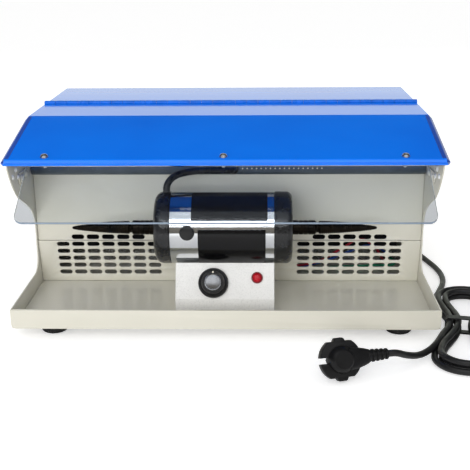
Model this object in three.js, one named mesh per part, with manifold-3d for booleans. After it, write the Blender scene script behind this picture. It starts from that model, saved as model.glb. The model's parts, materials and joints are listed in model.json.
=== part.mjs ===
// Bench polishing machine with a dust hood, in millimetres, +Z up.
// A two ended motor with tapered spindles lies on a control pedestal in an open tray. Behind it a
// slotted panel leads the dust through a filter to two fans at the back. The front of the hood is a
// lid on a piano hinge, with a clear shield along its front edge.
// X runs to the right, Y to the back. Y is measured from the front of the tray while the pieces are
// made, and the whole machine is then moved so that the origin is under the middle of its box.
import * as THREE from 'three';
import { mergeVertices } from 'three/addons/utils/BufferGeometryUtils.js';
import Module from 'manifold-3d';

// Sheet, clearances and counts
const sheet = 1.5;
const skin = 1.2;
const gap = 0.3;
const over = 2;
const motorSides = 32;
const roundSides = 16;
const smallSides = 10;
const knuckleSides = 8;
const boreSides = 6;
const filletSteps = 3;

// Body: tray, feet and side panels
const bodyWidth = 430;
const bodyDepth = 343;
const footHeight = 12;
const footRadius = 13.5;
const footTaper = 1.5;
const footInsetX = 38;
const footInsetY = 27;
const lipHeight = 20;
const lipCorner = 5;
const hemHeight = 5;
const upstandHeight = 8;
const wallHeight = 20.5;
const wallFilletY = 104;
const throatY = 121.5;
const throatZ = 80;
const cheekKneeY = 63;
const cheekKneeZ = 130;
const cheekTipY = 29;
const cheekTipZ = 169;
const cheekDrop = 3.6;

// Hood: the rear plate and the front lid
const hoodTop = 203.3;
const hoodWidth = 433;
const hoodEdge = 4.5;
const hoodFlange = 9.5;
const rearFlange = 12;
const foldY = 137;
const bendY = 26;
const bendZ = 179.3;
const lipBack = 0.7;
const lipBottomZ = 173.6;
const lipStepZ = 175.7;
const lipStepDepth = 0.6;
const lipChamferX = 4;
const lipChamferZ = 8;

// Piano hinge
const hingeY = 217.5;
const hingeRise = 0.5;
const knuckleRadius = 3;
const knuckleCount = 33;
const knuckleGap = 0.4;
const pinRadius = 1.2;
const leafWidth = 14;
const leafSheet = 1.2;
const leafInset = 5;

// Clear shield and its bolts
const shieldWidth = 393;
const shieldShift = 2.5;
const shieldSheet = 2.5;
const shieldBackY = 49;
const shieldBendY = 30.4;
const shieldKneeY = 28.9;
const shieldKneeZ = 172.7;
const shieldFootY = -37;
const shieldFootZ = 134;
const shieldCorner = 9;
const boltSpacing = 176.5;
const boltY = 34.5;
const boltRadius = 1.9;
const boltHeadRadius = 4;
const boltHeadHeight = 2.4;
const nutRadius = 3.8;
const nutHeight = 3;
const boltTail = 2.5;

// Lid rests on the side panels
const restY = 80;
const restZ = 150;
const restLength = 30;
const restHeight = 12;
const restPitch = 16;
const restDomeRadius = 4;
const restDomeHeight = 3;

// Inner panels and the slots
const panelY = 125;
const seamZ = 65;
const panelTop = 197.5;
const panelFlange = 11;
const grilleTopY = 124;
const grilleFootY = 133.8;
const slotLength = 14;
const slotWidth = 5.5;
const slotPitchX = 17;
const slotPitchZ = 9;
const slotFirstX = 83.5;
const slotColumns = 7;
const slotRows = 5;
const slotTopDrop = 4.2;
const seamRowRise = 4;
const wirePortX = 22;
const wirePortRise = 18;
const wirePortRadius = 7;

// Light bar under the hood
const barWidth = 412;
const barFrontY = 115;
const barBottom = 141;
const barTop = 160;
const barWall = 1.2;
const barSlant = 3;
const ledStripX = 59;
const ledStripLength = 90;
const ledStripHeight = 8;
const ledStripSheet = 0.8;
const ledStripZ = 147;

// Motor
const motorX = -2.8;
const motorY = 78;
const motorZ = 94.3;
const motorRadius = 37.4;
const motorHalf = 71.6;
const barrelLeft = 54.6;
const barrelRight = 53;
const barrelWall = 3;
const capRoundLeft = 9;
const capRoundRight = 6.5;
const capWall = 3;
const spigot = 2.5;
const shaftRadius = 4;
const bearingRadius = 11;
const bearingWidth = 7;
const bearingHousing = 3;
const coreRadius = 24;
const coreHalf = 24;
const windingRadius = 19;
const windingHalf = 31;
const commutatorRadius = 12;
const commutatorLength = 13;
const collarRadius = 7.2;
const collarLength = 26;
const collarNeck = 1.6;
const spindleReach = 161.1;
const spindleRadius = 6.6;
const spindleTip = 2.2;
const spindleBore = 20;
const labelLeft = 32.2;
const labelRight = 45.8;
const labelSheet = 0.6;
const labelLow = 26.5;
const labelHigh = 85;
const saddleLeft = 25.2;
const saddleRight = 43.8;
const saddleSheet = 2.7;
const saddleAngle = 14;
const brushX = -36.2;
const brushAngle = 9;
const brushHeadRadius = 7.6;
const brushHeadHeight = 3.6;
const brushShankRadius = 4.5;
const brushShankLength = 10;
const brushSlotWidth = 1.6;

// Motor lead and its grommet
const leadRadius = 3.7;
const leadSides = 8;
const leadSteps = 16;
const leadStartX = -62;
const leadEndX = 6;
const leadEndZ = 148.5;
const grommetRadius = 6.4;
const grommetBore = 4.6;
const grommetHeight = 3;

// Control pedestal, knob, lamp and board
const pedestalX = -1;
const pedestalWidth = 102;
const pedestalFrontY = 33;
const pedestalKneeZ = 31;
const pedestalTopY = 50;
const pedestalTopZ = 65.8;
const pedestalBackGap = 0.6;
const knobX = -12.8;
const knobRise = 16.7;
const knobRadius = 15.5;
const knobSkirt = 3.5;
const knobBodyRadius = 11.5;
const knobHeight = 12;
const knobCapRadius = 8.75;
const knobCapHeight = 1.6;
const knobCapSides = 16;
const knobPointer = 1.6;
const knobShaftRadius = 3;
const bushRadius = 4.7;
const bushRise = 1.2;
const potRadius = 12;
const potDepth = 10;
const lampX = 32.2;
const lampRise = 22.3;
const lampRadius = 5.6;
const lampDome = 3.2;
const lampRim = 1.4;
const lampShankRadius = 4;
const lampShankLength = 17;
const boardX = 10;
const boardY = 92;
const boardWidth = 56;
const boardDepth = 38;
const boardSheet = 1.6;
const boardPostHeight = 7;
const boardPostRadius = 2.4;
const heatSinkWidth = 20;
const heatSinkDepth = 9;
const heatSinkHeight = 15;
const heatSinkFins = 4;
const finSheet = 1.8;

// Rear panel, fans and filter
const rearPanelTop = 198.5;
const fanX = 100;
const fanZ = 108;
const fanSize = 119;
const fanDepth = 25;
const fanCorner = 6;
const fanBore = 57;
const fanTube = 2.4;
const fanFlange = 4;
const fanHubRadius = 20;
const fanHubSheet = 3;
const fanSteps = 8;
const strutWidth = 4;
const strutCount = 4;
const axleRadius = 2.9;
const axleLength = 13;
const impellerHub = 19.5;
const impellerHubDepth = 17;
const impellerWall = 2;
const impellerTip = 53.4;
const bladeCount = 7;
const bladeChord = 23;
const bladeSheet = 1.6;
const bladePitch = 38;
const bladeCamber = 2.6;
const guardRings = 3;
const guardWire = 2;
const guardOuter = 57;
const guardInner = 18;
const guardEye = 4.5;
const guardEyeReach = 74.2;
const filterY = 205;
const filterDepth = 12;
const filterTop = 199;
const filterBorder = 14;
const filterLip = 1.2;
const wireNotchX = 188;
const wireNotchWidth = 16;
const wireNotchHeight = 12;

// Inner wires
const wireRadius = 1.4;
const wireSides = 5;
const wireSteps = 22;

// Mains cord, hank, tie and plug
const cordRadius = 3.25;
const cordSides = 6;
const cordSteps = 34;
const tailSteps = 9;
const cordRest = 0.15;
const glandX = 185;
const glandZ = 32;
const glandHoleRadius = 7.3;
const glandFlangeRadius = 10;
const glandFlange = 2.5;
const glandLength = 34;
const glandRootRadius = 7;
const glandTipRadius = 4.6;
const hankX = 245;
const hankY = 20;
const hankTilt = 12;
const hankRun = 70;
const foldRadius = 19.5;
const loopGap = 0.7;
const waistHalf = 4.2;
const waistStep = 8;
const waistLift = 1.5;
const waistReach = 22;
const loopSteps = 24;
const hankSteps = 75;
const climbStart = 36;
const climbSteps = 4;
const hankSides = 6;
const tieWidth = 9;
const tieSheet = 1.2;
const plugX = 107.7;
const plugY = -84.7;
const plugYaw = 16;
const plugLean = 21.8;
const plugRadius = 19.8;
const plugFlat = 16.4;
const plugSheet = 9;
const plugSteps = 6;
const plugWing = 19.5;
const plugWingWidth = 11;
const plugNotchWidth = 5.6;
const plugNotchDepth = 8;
const plugBossRadius = 12.5;
const plugBossHeight = 8;
const plugNeckHalf = 9.5;
const plugNeckReach = 26;
const plugNeckDepth = 12;
const reliefReach = 46;
const reliefRadius = 6.6;
const reliefTip = 5.2;
const reliefRibs = 5;
const ribDepth = 0.8;
const plugPinRadius = 2.4;
const plugPinLength = 19;
const plugPinPitch = 19;

// Places worked out from the sizes above
const halfBody = bodyWidth / 2;
const innerHalf = halfBody - sheet;
const floorTop = footHeight + sheet;
const lipTop = footHeight + lipHeight;
const hingeZ = hoodTop + hingeRise;
const hingeGap = knuckleRadius + gap + gap;
const rearOuterY = bodyDepth - sheet - gap;
const rearInnerY = rearOuterY - sheet;
const slantSlope = (hoodTop - bendZ) / (foldY - bendY);
const slantAngle = Math.atan(slantSlope);
const slantZ = (y) => bendZ + (y - bendY) * slantSlope;
const slopeAngle = Math.atan2(pedestalTopY - pedestalFrontY, pedestalTopZ - pedestalKneeZ);
const cradleRadius = motorRadius + gap + saddleSheet + gap;
const cordDiameter = 2 * cordRadius;

// Directions, in the machine's frame
const right = new THREE.Vector3(1, 0, 0);
const back = new THREE.Vector3(0, 1, 0);
const up = new THREE.Vector3(0, 0, 1);
const front = new THREE.Vector3(0, -1, 0);
const radians = THREE.MathUtils.degToRad;

const wasm = await Module();
wasm.setup();

// A closed three.js geometry as a solid, turned right side out
function solid(geometry) {
  const bare = geometry.clone();
  bare.deleteAttribute('normal');
  bare.deleteAttribute('uv');
  const merged = mergeVertices(bare);
  const place = merged.attributes.position;
  const corners = [new THREE.Vector3(), new THREE.Vector3(), new THREE.Vector3()];
  const faces = [];
  let volume = 0;
  for (let i = 0; i < merged.index.count; i += 3) {
    const face = [merged.index.getX(i), merged.index.getX(i + 1), merged.index.getX(i + 2)];
    if (new Set(face).size < 3) continue;
    corners.forEach((corner, k) => corner.fromBufferAttribute(place, face[k]));
    volume += corners[0].dot(corners[1].clone().cross(corners[2]));
    faces.push(face);
  }
  if (volume < 0) faces.forEach((face) => face.reverse());
  const vertProperties = new Float32Array(place.array);
  const triVerts = new Uint32Array(faces.flat());
  return new wasm.Manifold(new wasm.Mesh({ numProp: 3, vertProperties, triVerts }));
}

const join = (first, ...rest) => rest.reduce((whole, piece) => whole.add(piece), first);
const cut = (first, ...rest) => rest.reduce((whole, piece) => whole.subtract(piece), first);

function geometryOf(shape) {
  const mesh = shape.getMesh();
  const geometry = new THREE.BufferGeometry();
  geometry.setAttribute('position', new THREE.BufferAttribute(new Float32Array(mesh.vertProperties), 3));
  geometry.setIndex(new THREE.BufferAttribute(new Uint32Array(mesh.triVerts), 1));
  geometry.computeVertexNormals();
  return geometry;
}

function shapeOf(points) {
  return new THREE.Shape(points.map(([x, y]) => new THREE.Vector2(x, y)));
}

// Solids of an outline: along X from an outline in Y and Z, along Y from X and Z, and along Z
function alongX(outline, from, to, bevel = {}) {
  const shape = Array.isArray(outline) ? shapeOf(outline) : outline;
  const geometry = new THREE.ExtrudeGeometry(shape, {
    depth: to - from, bevelEnabled: false, curveSegments: filletSteps, ...bevel,
  });
  geometry.applyMatrix4(new THREE.Matrix4().makeBasis(back, up, right));
  return solid(geometry.translate(from, 0, 0));
}

function alongY(outline, from, to, curveSegments = filletSteps) {
  const shape = Array.isArray(outline) ? shapeOf(outline) : outline;
  const geometry = new THREE.ExtrudeGeometry(shape, { depth: to - from, bevelEnabled: false, curveSegments });
  geometry.applyMatrix4(new THREE.Matrix4().makeBasis(right, up, front));
  return solid(geometry.translate(0, to, 0));
}

function alongZ(outline, from, to, curveSegments = filletSteps) {
  const shape = Array.isArray(outline) ? shapeOf(outline) : outline;
  const geometry = new THREE.ExtrudeGeometry(shape, { depth: to - from, bevelEnabled: false, curveSegments });
  return solid(geometry.translate(0, 0, from));
}

function block(x0, x1, y0, y1, z0, z1) {
  const geometry = new THREE.BoxGeometry(x1 - x0, y1 - y0, z1 - z0);
  return solid(geometry.translate((x0 + x1) / 2, (y0 + y1) / 2, (z0 + z1) / 2));
}

// A profile of radius and height turned about an axis
function turned(profile, axis, sides = roundSides) {
  const points = profile.map(([r, a]) => new THREE.Vector2(r, a));
  const geometry = new THREE.LatheGeometry(points, sides);
  if (axis === right) geometry.rotateZ(-Math.PI / 2);
  if (axis === up) geometry.rotateX(Math.PI / 2);
  return solid(geometry);
}

function rod(axis, radius, from, to, sides = smallSides) {
  return turned([[0, from], [radius, from], [radius, to], [0, to]], axis, sides);
}

function ring(axis, inner, outer, from, to, sides = roundSides) {
  return turned([[inner, from], [outer, from], [outer, to], [inner, to], [inner, from]], axis, sides);
}

// Outlines
function roundedRectangle(x0, x1, y0, y1, radius) {
  const shape = new THREE.Shape();
  shape.absarc(x1 - radius, y0 + radius, radius, -Math.PI / 2, 0);
  shape.absarc(x1 - radius, y1 - radius, radius, 0, Math.PI / 2);
  shape.absarc(x0 + radius, y1 - radius, radius, Math.PI / 2, Math.PI);
  shape.absarc(x0 + radius, y0 + radius, radius, Math.PI, 3 * Math.PI / 2);
  return shape;
}

function slot(x, y) {
  const end = slotLength / 2;
  const reach = end - slotWidth / 3;
  const half = slotWidth / 2;
  const corners = [[end, 0], [reach, half], [-reach, half], [-end, 0], [-reach, -half], [reach, -half]];
  return new THREE.Path(corners.map(([dx, dy]) => new THREE.Vector2(x + dx, y + dy)));
}

function chamfered(x0, x1, y0, y1, c) {
  return [
    [x0 + c, y0], [x1 - c, y0], [x1, y0 + c], [x1, y1 - c],
    [x1 - c, y1], [x0 + c, y1], [x0, y1 - c], [x0, y0 + c],
  ];
}

function hole(x, y, radius) {
  const path = new THREE.Path();
  path.absarc(x, y, radius, 0, 2 * Math.PI);
  return path;
}

function polygon(radius, count) {
  return [...Array(count).keys()].map((k) => {
    const angle = (2 * Math.PI * (k + 1 / 2)) / count;
    return [radius * Math.cos(angle), radius * Math.sin(angle)];
  });
}

// A line of points moved sideways by a distance, to its left as it runs
function offset(points, distance) {
  const normal = (a, b) => {
    const length = Math.hypot(b[0] - a[0], b[1] - a[1]);
    return [(a[1] - b[1]) / length, (b[0] - a[0]) / length];
  };
  return points.map((point, i) => {
    const before = normal(points[Math.max(i - 1, 0)], points[Math.max(i, 1)]);
    const last = points.length - 1;
    const after = normal(points[Math.min(i, last - 1)], points[Math.min(i + 1, last)]);
    const scale = distance / (1 + before[0] * after[0] + before[1] * after[1]);
    return [point[0] + (before[0] + after[0]) * scale, point[1] + (before[1] + after[1]) * scale];
  });
}

// A closed strip of a thickness about a line of points
function strip(points, thickness) {
  return [...offset(points, thickness / 2), ...offset(points, -thickness / 2).reverse()];
}

// A part of a ring about the motor's axis. Angles are in degrees, up from the front.
function sector(inner, outer, low, high, steps) {
  const at = (radius, k) => {
    const angle = radians(low + ((high - low) * k) / steps);
    return [-radius * Math.cos(angle), radius * Math.sin(angle)];
  };
  const count = [...Array(steps + 1).keys()];
  return [...count.map((k) => at(outer, k)), ...count.reverse().map((k) => at(inner, k))];
}

// A tube of straight lengths between points, with its sections turned to lie upright
function tube(points, radius, sides) {
  const positions = [];
  const index = [];
  points.forEach((point, i) => {
    const before = points[Math.max(i - 1, 0)];
    const after = points[Math.min(i + 1, points.length - 1)];
    const along = after.clone().sub(before).normalize();
    const side = along.clone().cross(up).normalize();
    const rise = side.clone().cross(along);
    for (let k = 0; k < sides; k += 1) {
      const angle = (2 * Math.PI * (k + 1 / 2)) / sides;
      const place = point.clone();
      place.addScaledVector(side, radius * Math.cos(angle));
      place.addScaledVector(rise, radius * Math.sin(angle));
      positions.push(place.x, place.y, place.z);
    }
  });
  for (let i = 0; i < points.length - 1; i += 1) {
    for (let k = 0; k < sides; k += 1) {
      const a = i * sides + k;
      const b = i * sides + ((k + 1) % sides);
      index.push(a, b, b + sides, a, b + sides, a + sides);
    }
  }
  const end = (points.length - 1) * sides;
  for (let k = 1; k < sides - 1; k += 1) {
    index.push(0, k + 1, k, end, end + k, end + k + 1);
  }
  const geometry = new THREE.BufferGeometry();
  geometry.setAttribute('position', new THREE.Float32BufferAttribute(positions, 3));
  geometry.setIndex(index);
  return solid(geometry);
}

// A round cable along a smooth curve through points
function cable(points, radius, sides, steps) {
  const extrudePath = new THREE.CatmullRomCurve3(points, false, 'centripetal');
  const section = shapeOf(polygon(radius, sides));
  return solid(new THREE.ExtrudeGeometry(section, { steps, extrudePath, bevelEnabled: false }));
}

// Materials
const paint = (color, roughness, metalness = 0) => new THREE.MeshStandardMaterial({ color, roughness, metalness });
const materials = {
  beige: paint(0xdad6c8, 0.5),
  hammered: paint(0xe6e5e3, 0.45),
  blue: paint(0x0a63dc, 0.35),
  steel: paint(0xc4c7cb, 0.3, 1),
  chrome: paint(0xdfe2e6, 0.08, 1),
  brass: paint(0xb9924a, 0.35, 1),
  blackGloss: paint(0x121315, 0.18),
  blackMatt: paint(0x1b1b1c, 0.6),
  rubber: paint(0x161616, 0.8),
  label: paint(0x0d0e10, 0.3),
  clear: new THREE.MeshStandardMaterial({ color: 0xcfdfee, roughness: 0.05, transparent: true, opacity: 0.25 }),
  slate: paint(0x3c4750, 0.4),
  led: paint(0xe8e4d4, 0.4),
  red: paint(0xd01230, 0.2),
  foam: paint(0x17181a, 0.95),
  fan: paint(0x141517, 0.5),
  board: paint(0x2f6b3c, 0.5),
  wireRed: paint(0xb02438, 0.45),
  wireBlue: paint(0x2c4d9c, 0.45),
  wireGreen: paint(0x2e8f68, 0.45),
};

const machine = new THREE.Group();

function add(name, shape, material, parent = machine) {
  const mesh = new THREE.Mesh(geometryOf(shape), material);
  mesh.name = name;
  parent.add(mesh);
  return mesh;
}

function groupAt(x, y, z, parent = machine) {
  const group = new THREE.Group();
  group.position.set(x, y, z);
  parent.add(group);
  return group;
}

const sides = [['left', -1], ['right', 1]];

// Tray: floor, front lip with a folded hem, and an upstand for the rear panel
function trayShape() {
  const floorHalf = innerHalf - gap;
  const lip = new THREE.Shape();
  lip.moveTo(halfBody, lipTop);
  lip.lineTo(-halfBody, lipTop);
  lip.absarc(-halfBody + lipCorner, footHeight + lipCorner, lipCorner, Math.PI, 3 * Math.PI / 2);
  lip.absarc(halfBody - lipCorner, footHeight + lipCorner, lipCorner, -Math.PI / 2, 0);
  const upstandBack = rearInnerY - gap;
  return join(
    block(-floorHalf, floorHalf, sheet / 2, upstandBack, footHeight, floorTop),
    alongY(lip, 0, sheet),
    block(-floorHalf, floorHalf, sheet / 2, 2 * sheet, lipTop - hemHeight, lipTop),
    block(-floorHalf, floorHalf, upstandBack - sheet, upstandBack, footHeight, floorTop + upstandHeight),
  );
}

// Side panel: the low tray wall, the throat over it and the cheek that carries the hood
function sidePanelShape() {
  const wallTop = footHeight + wallHeight;
  const fillet = throatY - wallFilletY;
  const frontY = sheet + gap;
  const underHood = (y) => slantZ(y) - cheekDrop / Math.cos(slantAngle);
  const topZ = hoodTop - cheekDrop;
  const topY = foldY + cheekDrop * Math.tan(slantAngle / 2);
  const shape = new THREE.Shape();
  shape.moveTo(frontY, footHeight);
  shape.lineTo(rearInnerY - gap, footHeight);
  shape.lineTo(rearInnerY - gap, topZ);
  shape.lineTo(topY, topZ);
  shape.lineTo(cheekTipY, underHood(cheekTipY));
  shape.lineTo(cheekTipY, cheekTipZ);
  shape.lineTo(cheekKneeY, cheekKneeZ);
  shape.bezierCurveTo(
    (cheekKneeY + throatY) / 2, (cheekKneeZ + throatZ) / 2 + fillet / 2,
    throatY, (cheekKneeZ + throatZ) / 2,
    throatY, throatZ,
  );
  shape.lineTo(throatY, wallTop + fillet);
  shape.absarc(wallFilletY, wallTop + fillet, fillet, 0, -Math.PI / 2, true);
  shape.lineTo(frontY, wallTop);
  shape.closePath();
  return alongX(shape, 0, sheet, { curveSegments: 8 });
}

function footShape() {
  return turned([
    [0, 0], [footRadius - footTaper, 0], [footRadius, footTaper],
    [footRadius, footHeight - gap], [0, footHeight - gap],
  ], up);
}

// A bent hood sheet with rounded side edges. The surface runs from the hinge, and the lower line
// is where its side flanges end.
function hoodSheet(surface, lower, edge = hoodEdge) {
  const [first, second] = surface;
  const away = Math.sign(first[0] - second[0]);
  const past = [first[0] + away * (over + edge), first[1]];
  const end = surface[surface.length - 1];
  const deep = [end[0], end[1] - hoodFlange - edge - over];
  const turn = away > 0 ? 1 : -1;
  const body = (inset) => {
    const line = offset([past, ...surface, deep], turn * inset);
    const depth = line[line.length - 1][1];
    return [...line, [past[0], depth]];
  };
  const swell = (radius) => ({
    bevelEnabled: true, bevelThickness: radius, bevelSize: radius, bevelOffset: -radius, bevelSegments: filletSteps,
  });
  const half = hoodWidth / 2;
  const outer = alongX(body(0), -half + edge, half - edge, swell(edge));
  const inner = alongX(body(skin), -half + edge, half - edge, swell(edge - skin));
  const kept = alongX([...offset(surface, -turn * over), ...lower], -half - over, half + over);
  return cut(outer, inner).intersect(kept);
}

function rearTopShape() {
  const startY = hingeY + hingeGap;
  const flangeZ = hoodTop - hoodFlange;
  const surface = [[startY, hoodTop], [bodyDepth, hoodTop], [bodyDepth, hoodTop - rearFlange]];
  const lower = [
    [bodyDepth - skin - over, hoodTop - rearFlange], [bodyDepth - rearFlange, flangeZ], [startY, flangeZ],
  ];
  return hoodSheet(surface, lower);
}

const bolts = [['left', -boltSpacing], ['middle', 0], ['right', boltSpacing]];

function slantRods(radius) {
  return bolts.map(([, x]) => {
    const geometry = new THREE.CylinderGeometry(radius, radius, hoodFlange * 2, smallSides);
    geometry.rotateX(Math.PI / 2 + slantAngle);
    return solid(geometry.translate(x, boltY, slantZ(boltY)));
  });
}

function lidShape() {
  const endY = hingeY - hingeGap;
  const lipY = bendY - lipBack;
  const surface = [[endY, hoodTop], [foldY, hoodTop], [bendY, bendZ], [lipY, lipBottomZ]];
  const flange = hoodFlange / Math.cos(slantAngle);
  const frontFlangeY = bendY + hoodFlange;
  const lower = [
    [lipY + skin + over, lipBottomZ],
    [frontFlangeY, slantZ(frontFlangeY) - flange],
    [foldY, hoodTop - flange],
    [endY, hoodTop - hoodFlange],
  ];
  const half = hoodWidth / 2;
  const corners = sides.map(([, side]) => alongY([
    [side * (half + over), lipBottomZ + lipChamferZ],
    [side * half, lipBottomZ + lipChamferZ],
    [side * (half - lipChamferX), lipBottomZ],
    [side * (half - lipChamferX), lipBottomZ - over],
    [side * (half + over), lipBottomZ - over],
  ], lipY - over, frontFlangeY));
  const step = block(-half, half, lipY - over, lipY + lipStepDepth, lipBottomZ - over, lipStepZ);
  return cut(hoodSheet(surface, lower), ...corners, step, ...slantRods(boltRadius + gap));
}

// Hinge leaf: knuckles on every second place, on tabs of a plate under the hood sheet
function hingeLeafShape(side, parity) {
  const length = hoodWidth - 2 * leafInset;
  const pitch = length / knuckleCount;
  const bore = pinRadius + gap;
  const top = hoodTop - skin - gap - hingeZ;
  const tabBase = top - leafSheet;
  const plate = [side * (knuckleRadius + gap), side * (knuckleRadius + gap + leafWidth)].sort((a, b) => a - b);
  const tab = [0, side * (knuckleRadius + over)].sort((a, b) => a - b);
  let leaf = block(-length / 2, length / 2, plate[0], plate[1], tabBase, top);
  const barrel = shapeOf(polygon(knuckleRadius, knuckleSides));
  barrel.holes.push(shapeOf(polygon(bore, boreSides)));
  for (let k = parity; k < knuckleCount; k += 2) {
    const from = -length / 2 + k * pitch + knuckleGap / 2;
    const to = from + pitch - knuckleGap;
    leaf = join(leaf, alongX(barrel, from, to), block(from, to, tab[0], tab[1], tabBase, top));
  }
  return leaf;
}

// Clear shield: a flange under the slant, a joggle behind the lip and the sloping sheet
function shieldShape() {
  const depth = skin + gap + shieldSheet / 2;
  const flangeZ = (y) => slantZ(y) - depth / Math.cos(slantAngle);
  const line = [
    [shieldBackY, flangeZ(shieldBackY)],
    [shieldBendY, flangeZ(shieldBendY)],
    [shieldKneeY, shieldKneeZ],
    [shieldFootY, shieldFootZ],
  ];
  const left = shieldShift - shieldWidth / 2;
  const bent = alongX(strip(line, shieldSheet), left, left + shieldWidth);
  const slope = Math.atan2(shieldKneeZ - shieldFootZ, shieldKneeY - shieldFootY);
  const long = Math.hypot(shieldKneeZ - shieldFootZ, shieldKneeY - shieldFootY);
  const wide = roundedRectangle(left, left + shieldWidth, 0, 2 * long, shieldCorner);
  const geometry = new THREE.ExtrudeGeometry(wide, { depth: 2 * long, bevelEnabled: false, curveSegments: 4 });
  geometry.translate(0, 0, -long).rotateX(slope);
  geometry.translate(0, shieldFootY, shieldFootZ);
  return cut(bent.intersect(solid(geometry)), ...slantRods(boltRadius + gap));
}

// Bolt with its nut, along the slant's normal. Heights run from the slant's outer face.
function boltShape() {
  const nutTop = -(skin + gap + shieldSheet + gap);
  const nutBottom = nutTop - nutHeight;
  const head = turned([
    [0, gap], [boltHeadRadius, gap], [boltHeadRadius, gap + boltHeadHeight / 2],
    [boltHeadRadius / 2, gap + boltHeadHeight], [0, gap + boltHeadHeight],
  ], up, smallSides);
  return join(
    head,
    rod(up, boltRadius, nutBottom - boltTail, gap + boltHeadHeight / 2),
    rod(up, nutRadius, nutBottom, nutTop, 6),
  );
}

// Rest on the side panel's inner face: a small plate with two domed rivets
function lidRestShape() {
  const plate = alongX(
    chamfered(-restLength / 2, restLength / 2, -restHeight / 2, restHeight / 2, restHeight / 4), 0, sheet,
  );
  const domes = [-1, 1].map((way) => {
    const dome = turned([
      [0, 0], [restDomeRadius, 0], [restDomeRadius, sheet], [restDomeRadius * 0.7, sheet + restDomeHeight * 0.7],
      [0, sheet + restDomeHeight],
    ], right, smallSides);
    return dome.translate([0, (way * restPitch) / 2, 0]);
  });
  return join(plate, ...domes);
}

function slotColumnsAt(first, last, z) {
  const places = [];
  for (let k = first; k <= last; k += 1) {
    const x = slotFirstX + k * slotPitchX;
    places.push(slot(x, z), slot(-x, z));
  }
  return places;
}

function upperPanelShape() {
  const half = innerHalf - gap;
  const bottom = seamZ + gap;
  const face = shapeOf([[-half, bottom], [half, bottom], [half, panelTop], [-half, panelTop]]);
  face.holes.push(...slotColumnsAt(1, slotColumns - 2, seamZ + seamRowRise));
  return join(
    alongY(face, panelY, panelY + sheet),
    block(-half, half, panelY, panelY + panelFlange, panelTop - sheet, panelTop),
  );
}

// Slotted lower panel, made upright from its foot and then leaned forward
const grilleLean = Math.atan2(grilleFootY - grilleTopY, seamZ - floorTop);
const grilleLength = Math.hypot(grilleFootY - grilleTopY, seamZ - floorTop) - 2 * gap;

function grilleShape() {
  const half = innerHalf - gap;
  const face = shapeOf([[-half, 0], [half, 0], [half, grilleLength], [-half, grilleLength]]);
  for (let row = 0; row < slotRows; row += 1) {
    face.holes.push(...slotColumnsAt(0, slotColumns - 1, grilleLength - slotTopDrop - row * slotPitchZ));
  }
  face.holes.push(hole(wirePortX, wirePortRise, wirePortRadius));
  return alongY(face, 0, sheet);
}

// Light bar: a channel with a slanted front edge, open to the panel behind it
function lightBarShape() {
  const backY = panelY - gap;
  const outline = [
    [barFrontY, barBottom + barSlant], [barFrontY + barSlant, barBottom], [backY, barBottom],
    [backY, barTop], [barFrontY, barTop],
  ];
  const hollow = [
    [barFrontY + barWall, barBottom + barSlant + barWall / 2],
    [barFrontY + barSlant + barWall / 2, barBottom + barWall],
    [backY + over, barBottom + barWall],
    [backY + over, barTop - barWall],
    [barFrontY + barWall, barTop - barWall],
  ];
  const port = rod(back, leadRadius + gap, barFrontY - over, barFrontY + barWall + over);
  return cut(
    alongX(outline, -barWidth / 2, barWidth / 2),
    alongX(hollow, -barWidth / 2 + barWall, barWidth / 2 - barWall),
    port.translate([leadEndX, 0, leadEndZ]),
  );
}

// Motor pieces, about an axis along X
function capShape(length, round) {
  const inner = motorRadius - barrelWall;
  const seat = bearingRadius + gap;
  const seatEnd = length - capWall;
  const arc = [...Array(filletSteps + 2).keys()].map((k) => {
    const angle = ((Math.PI / 2) * k) / (filletSteps + 1);
    return [motorRadius - round + round * Math.cos(angle), length - round + round * Math.sin(angle)];
  });
  return turned([
    [inner - gap - spigot, -spigot], [inner - gap, -spigot], [inner - gap, gap], [motorRadius, gap],
    ...arc,
    [collarRadius + gap, length], [collarRadius + gap, seatEnd],
    [seat, seatEnd], [seat, seatEnd - bearingWidth - gap],
    [seat + bearingHousing, seatEnd - bearingWidth - gap], [seat + bearingHousing, seatEnd],
    [inner - gap - spigot, seatEnd - round / 2],
    [inner - gap - spigot, -spigot],
  ], right, motorSides);
}

function barrelShape() {
  const shell = ring(
    right, motorRadius - barrelWall, motorRadius, -barrelLeft, barrelRight, motorSides,
  );
  const ports = rod(back, brushShankRadius + gap, -motorRadius - over, motorRadius + over);
  return cut(shell, ports.rotate([-brushAngle, 0, 0]).translate([brushX, 0, 0]));
}

function rotorShape() {
  const end = motorHalf + spindleBore - gap;
  return turned([
    [0, -end], [shaftRadius, -end], [shaftRadius, -windingHalf],
    [windingRadius, -windingHalf], [windingRadius, -coreHalf], [coreRadius, -coreHalf],
    [coreRadius, coreHalf], [windingRadius, coreHalf], [windingRadius, windingHalf],
    [commutatorRadius, windingHalf], [commutatorRadius, windingHalf + commutatorLength],
    [shaftRadius, windingHalf + commutatorLength], [shaftRadius, end], [0, end],
  ], right);
}

// Tapered spindle: a collar on the shaft, a neck and the long threaded taper
function spindleShape() {
  const start = motorHalf + gap;
  const collarEnd = motorHalf + collarLength;
  const bore = shaftRadius + gap;
  const neck = spindleRadius - collarNeck;
  const length = spindleReach - collarEnd;
  return turned([
    [bore, start], [collarRadius, start], [collarRadius, collarEnd - collarNeck],
    [neck, collarEnd], [neck, collarEnd + collarNeck], [spindleRadius, collarEnd + 2 * collarNeck],
    [(spindleRadius + spindleTip) * 0.56, collarEnd + length * 0.55],
    [spindleTip, spindleReach - spindleTip], [spindleTip / 2, spindleReach - spindleTip / 4], [0, spindleReach],
    [0, motorHalf + spindleBore], [bore, motorHalf + spindleBore], [bore, start],
  ], right);
}

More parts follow.
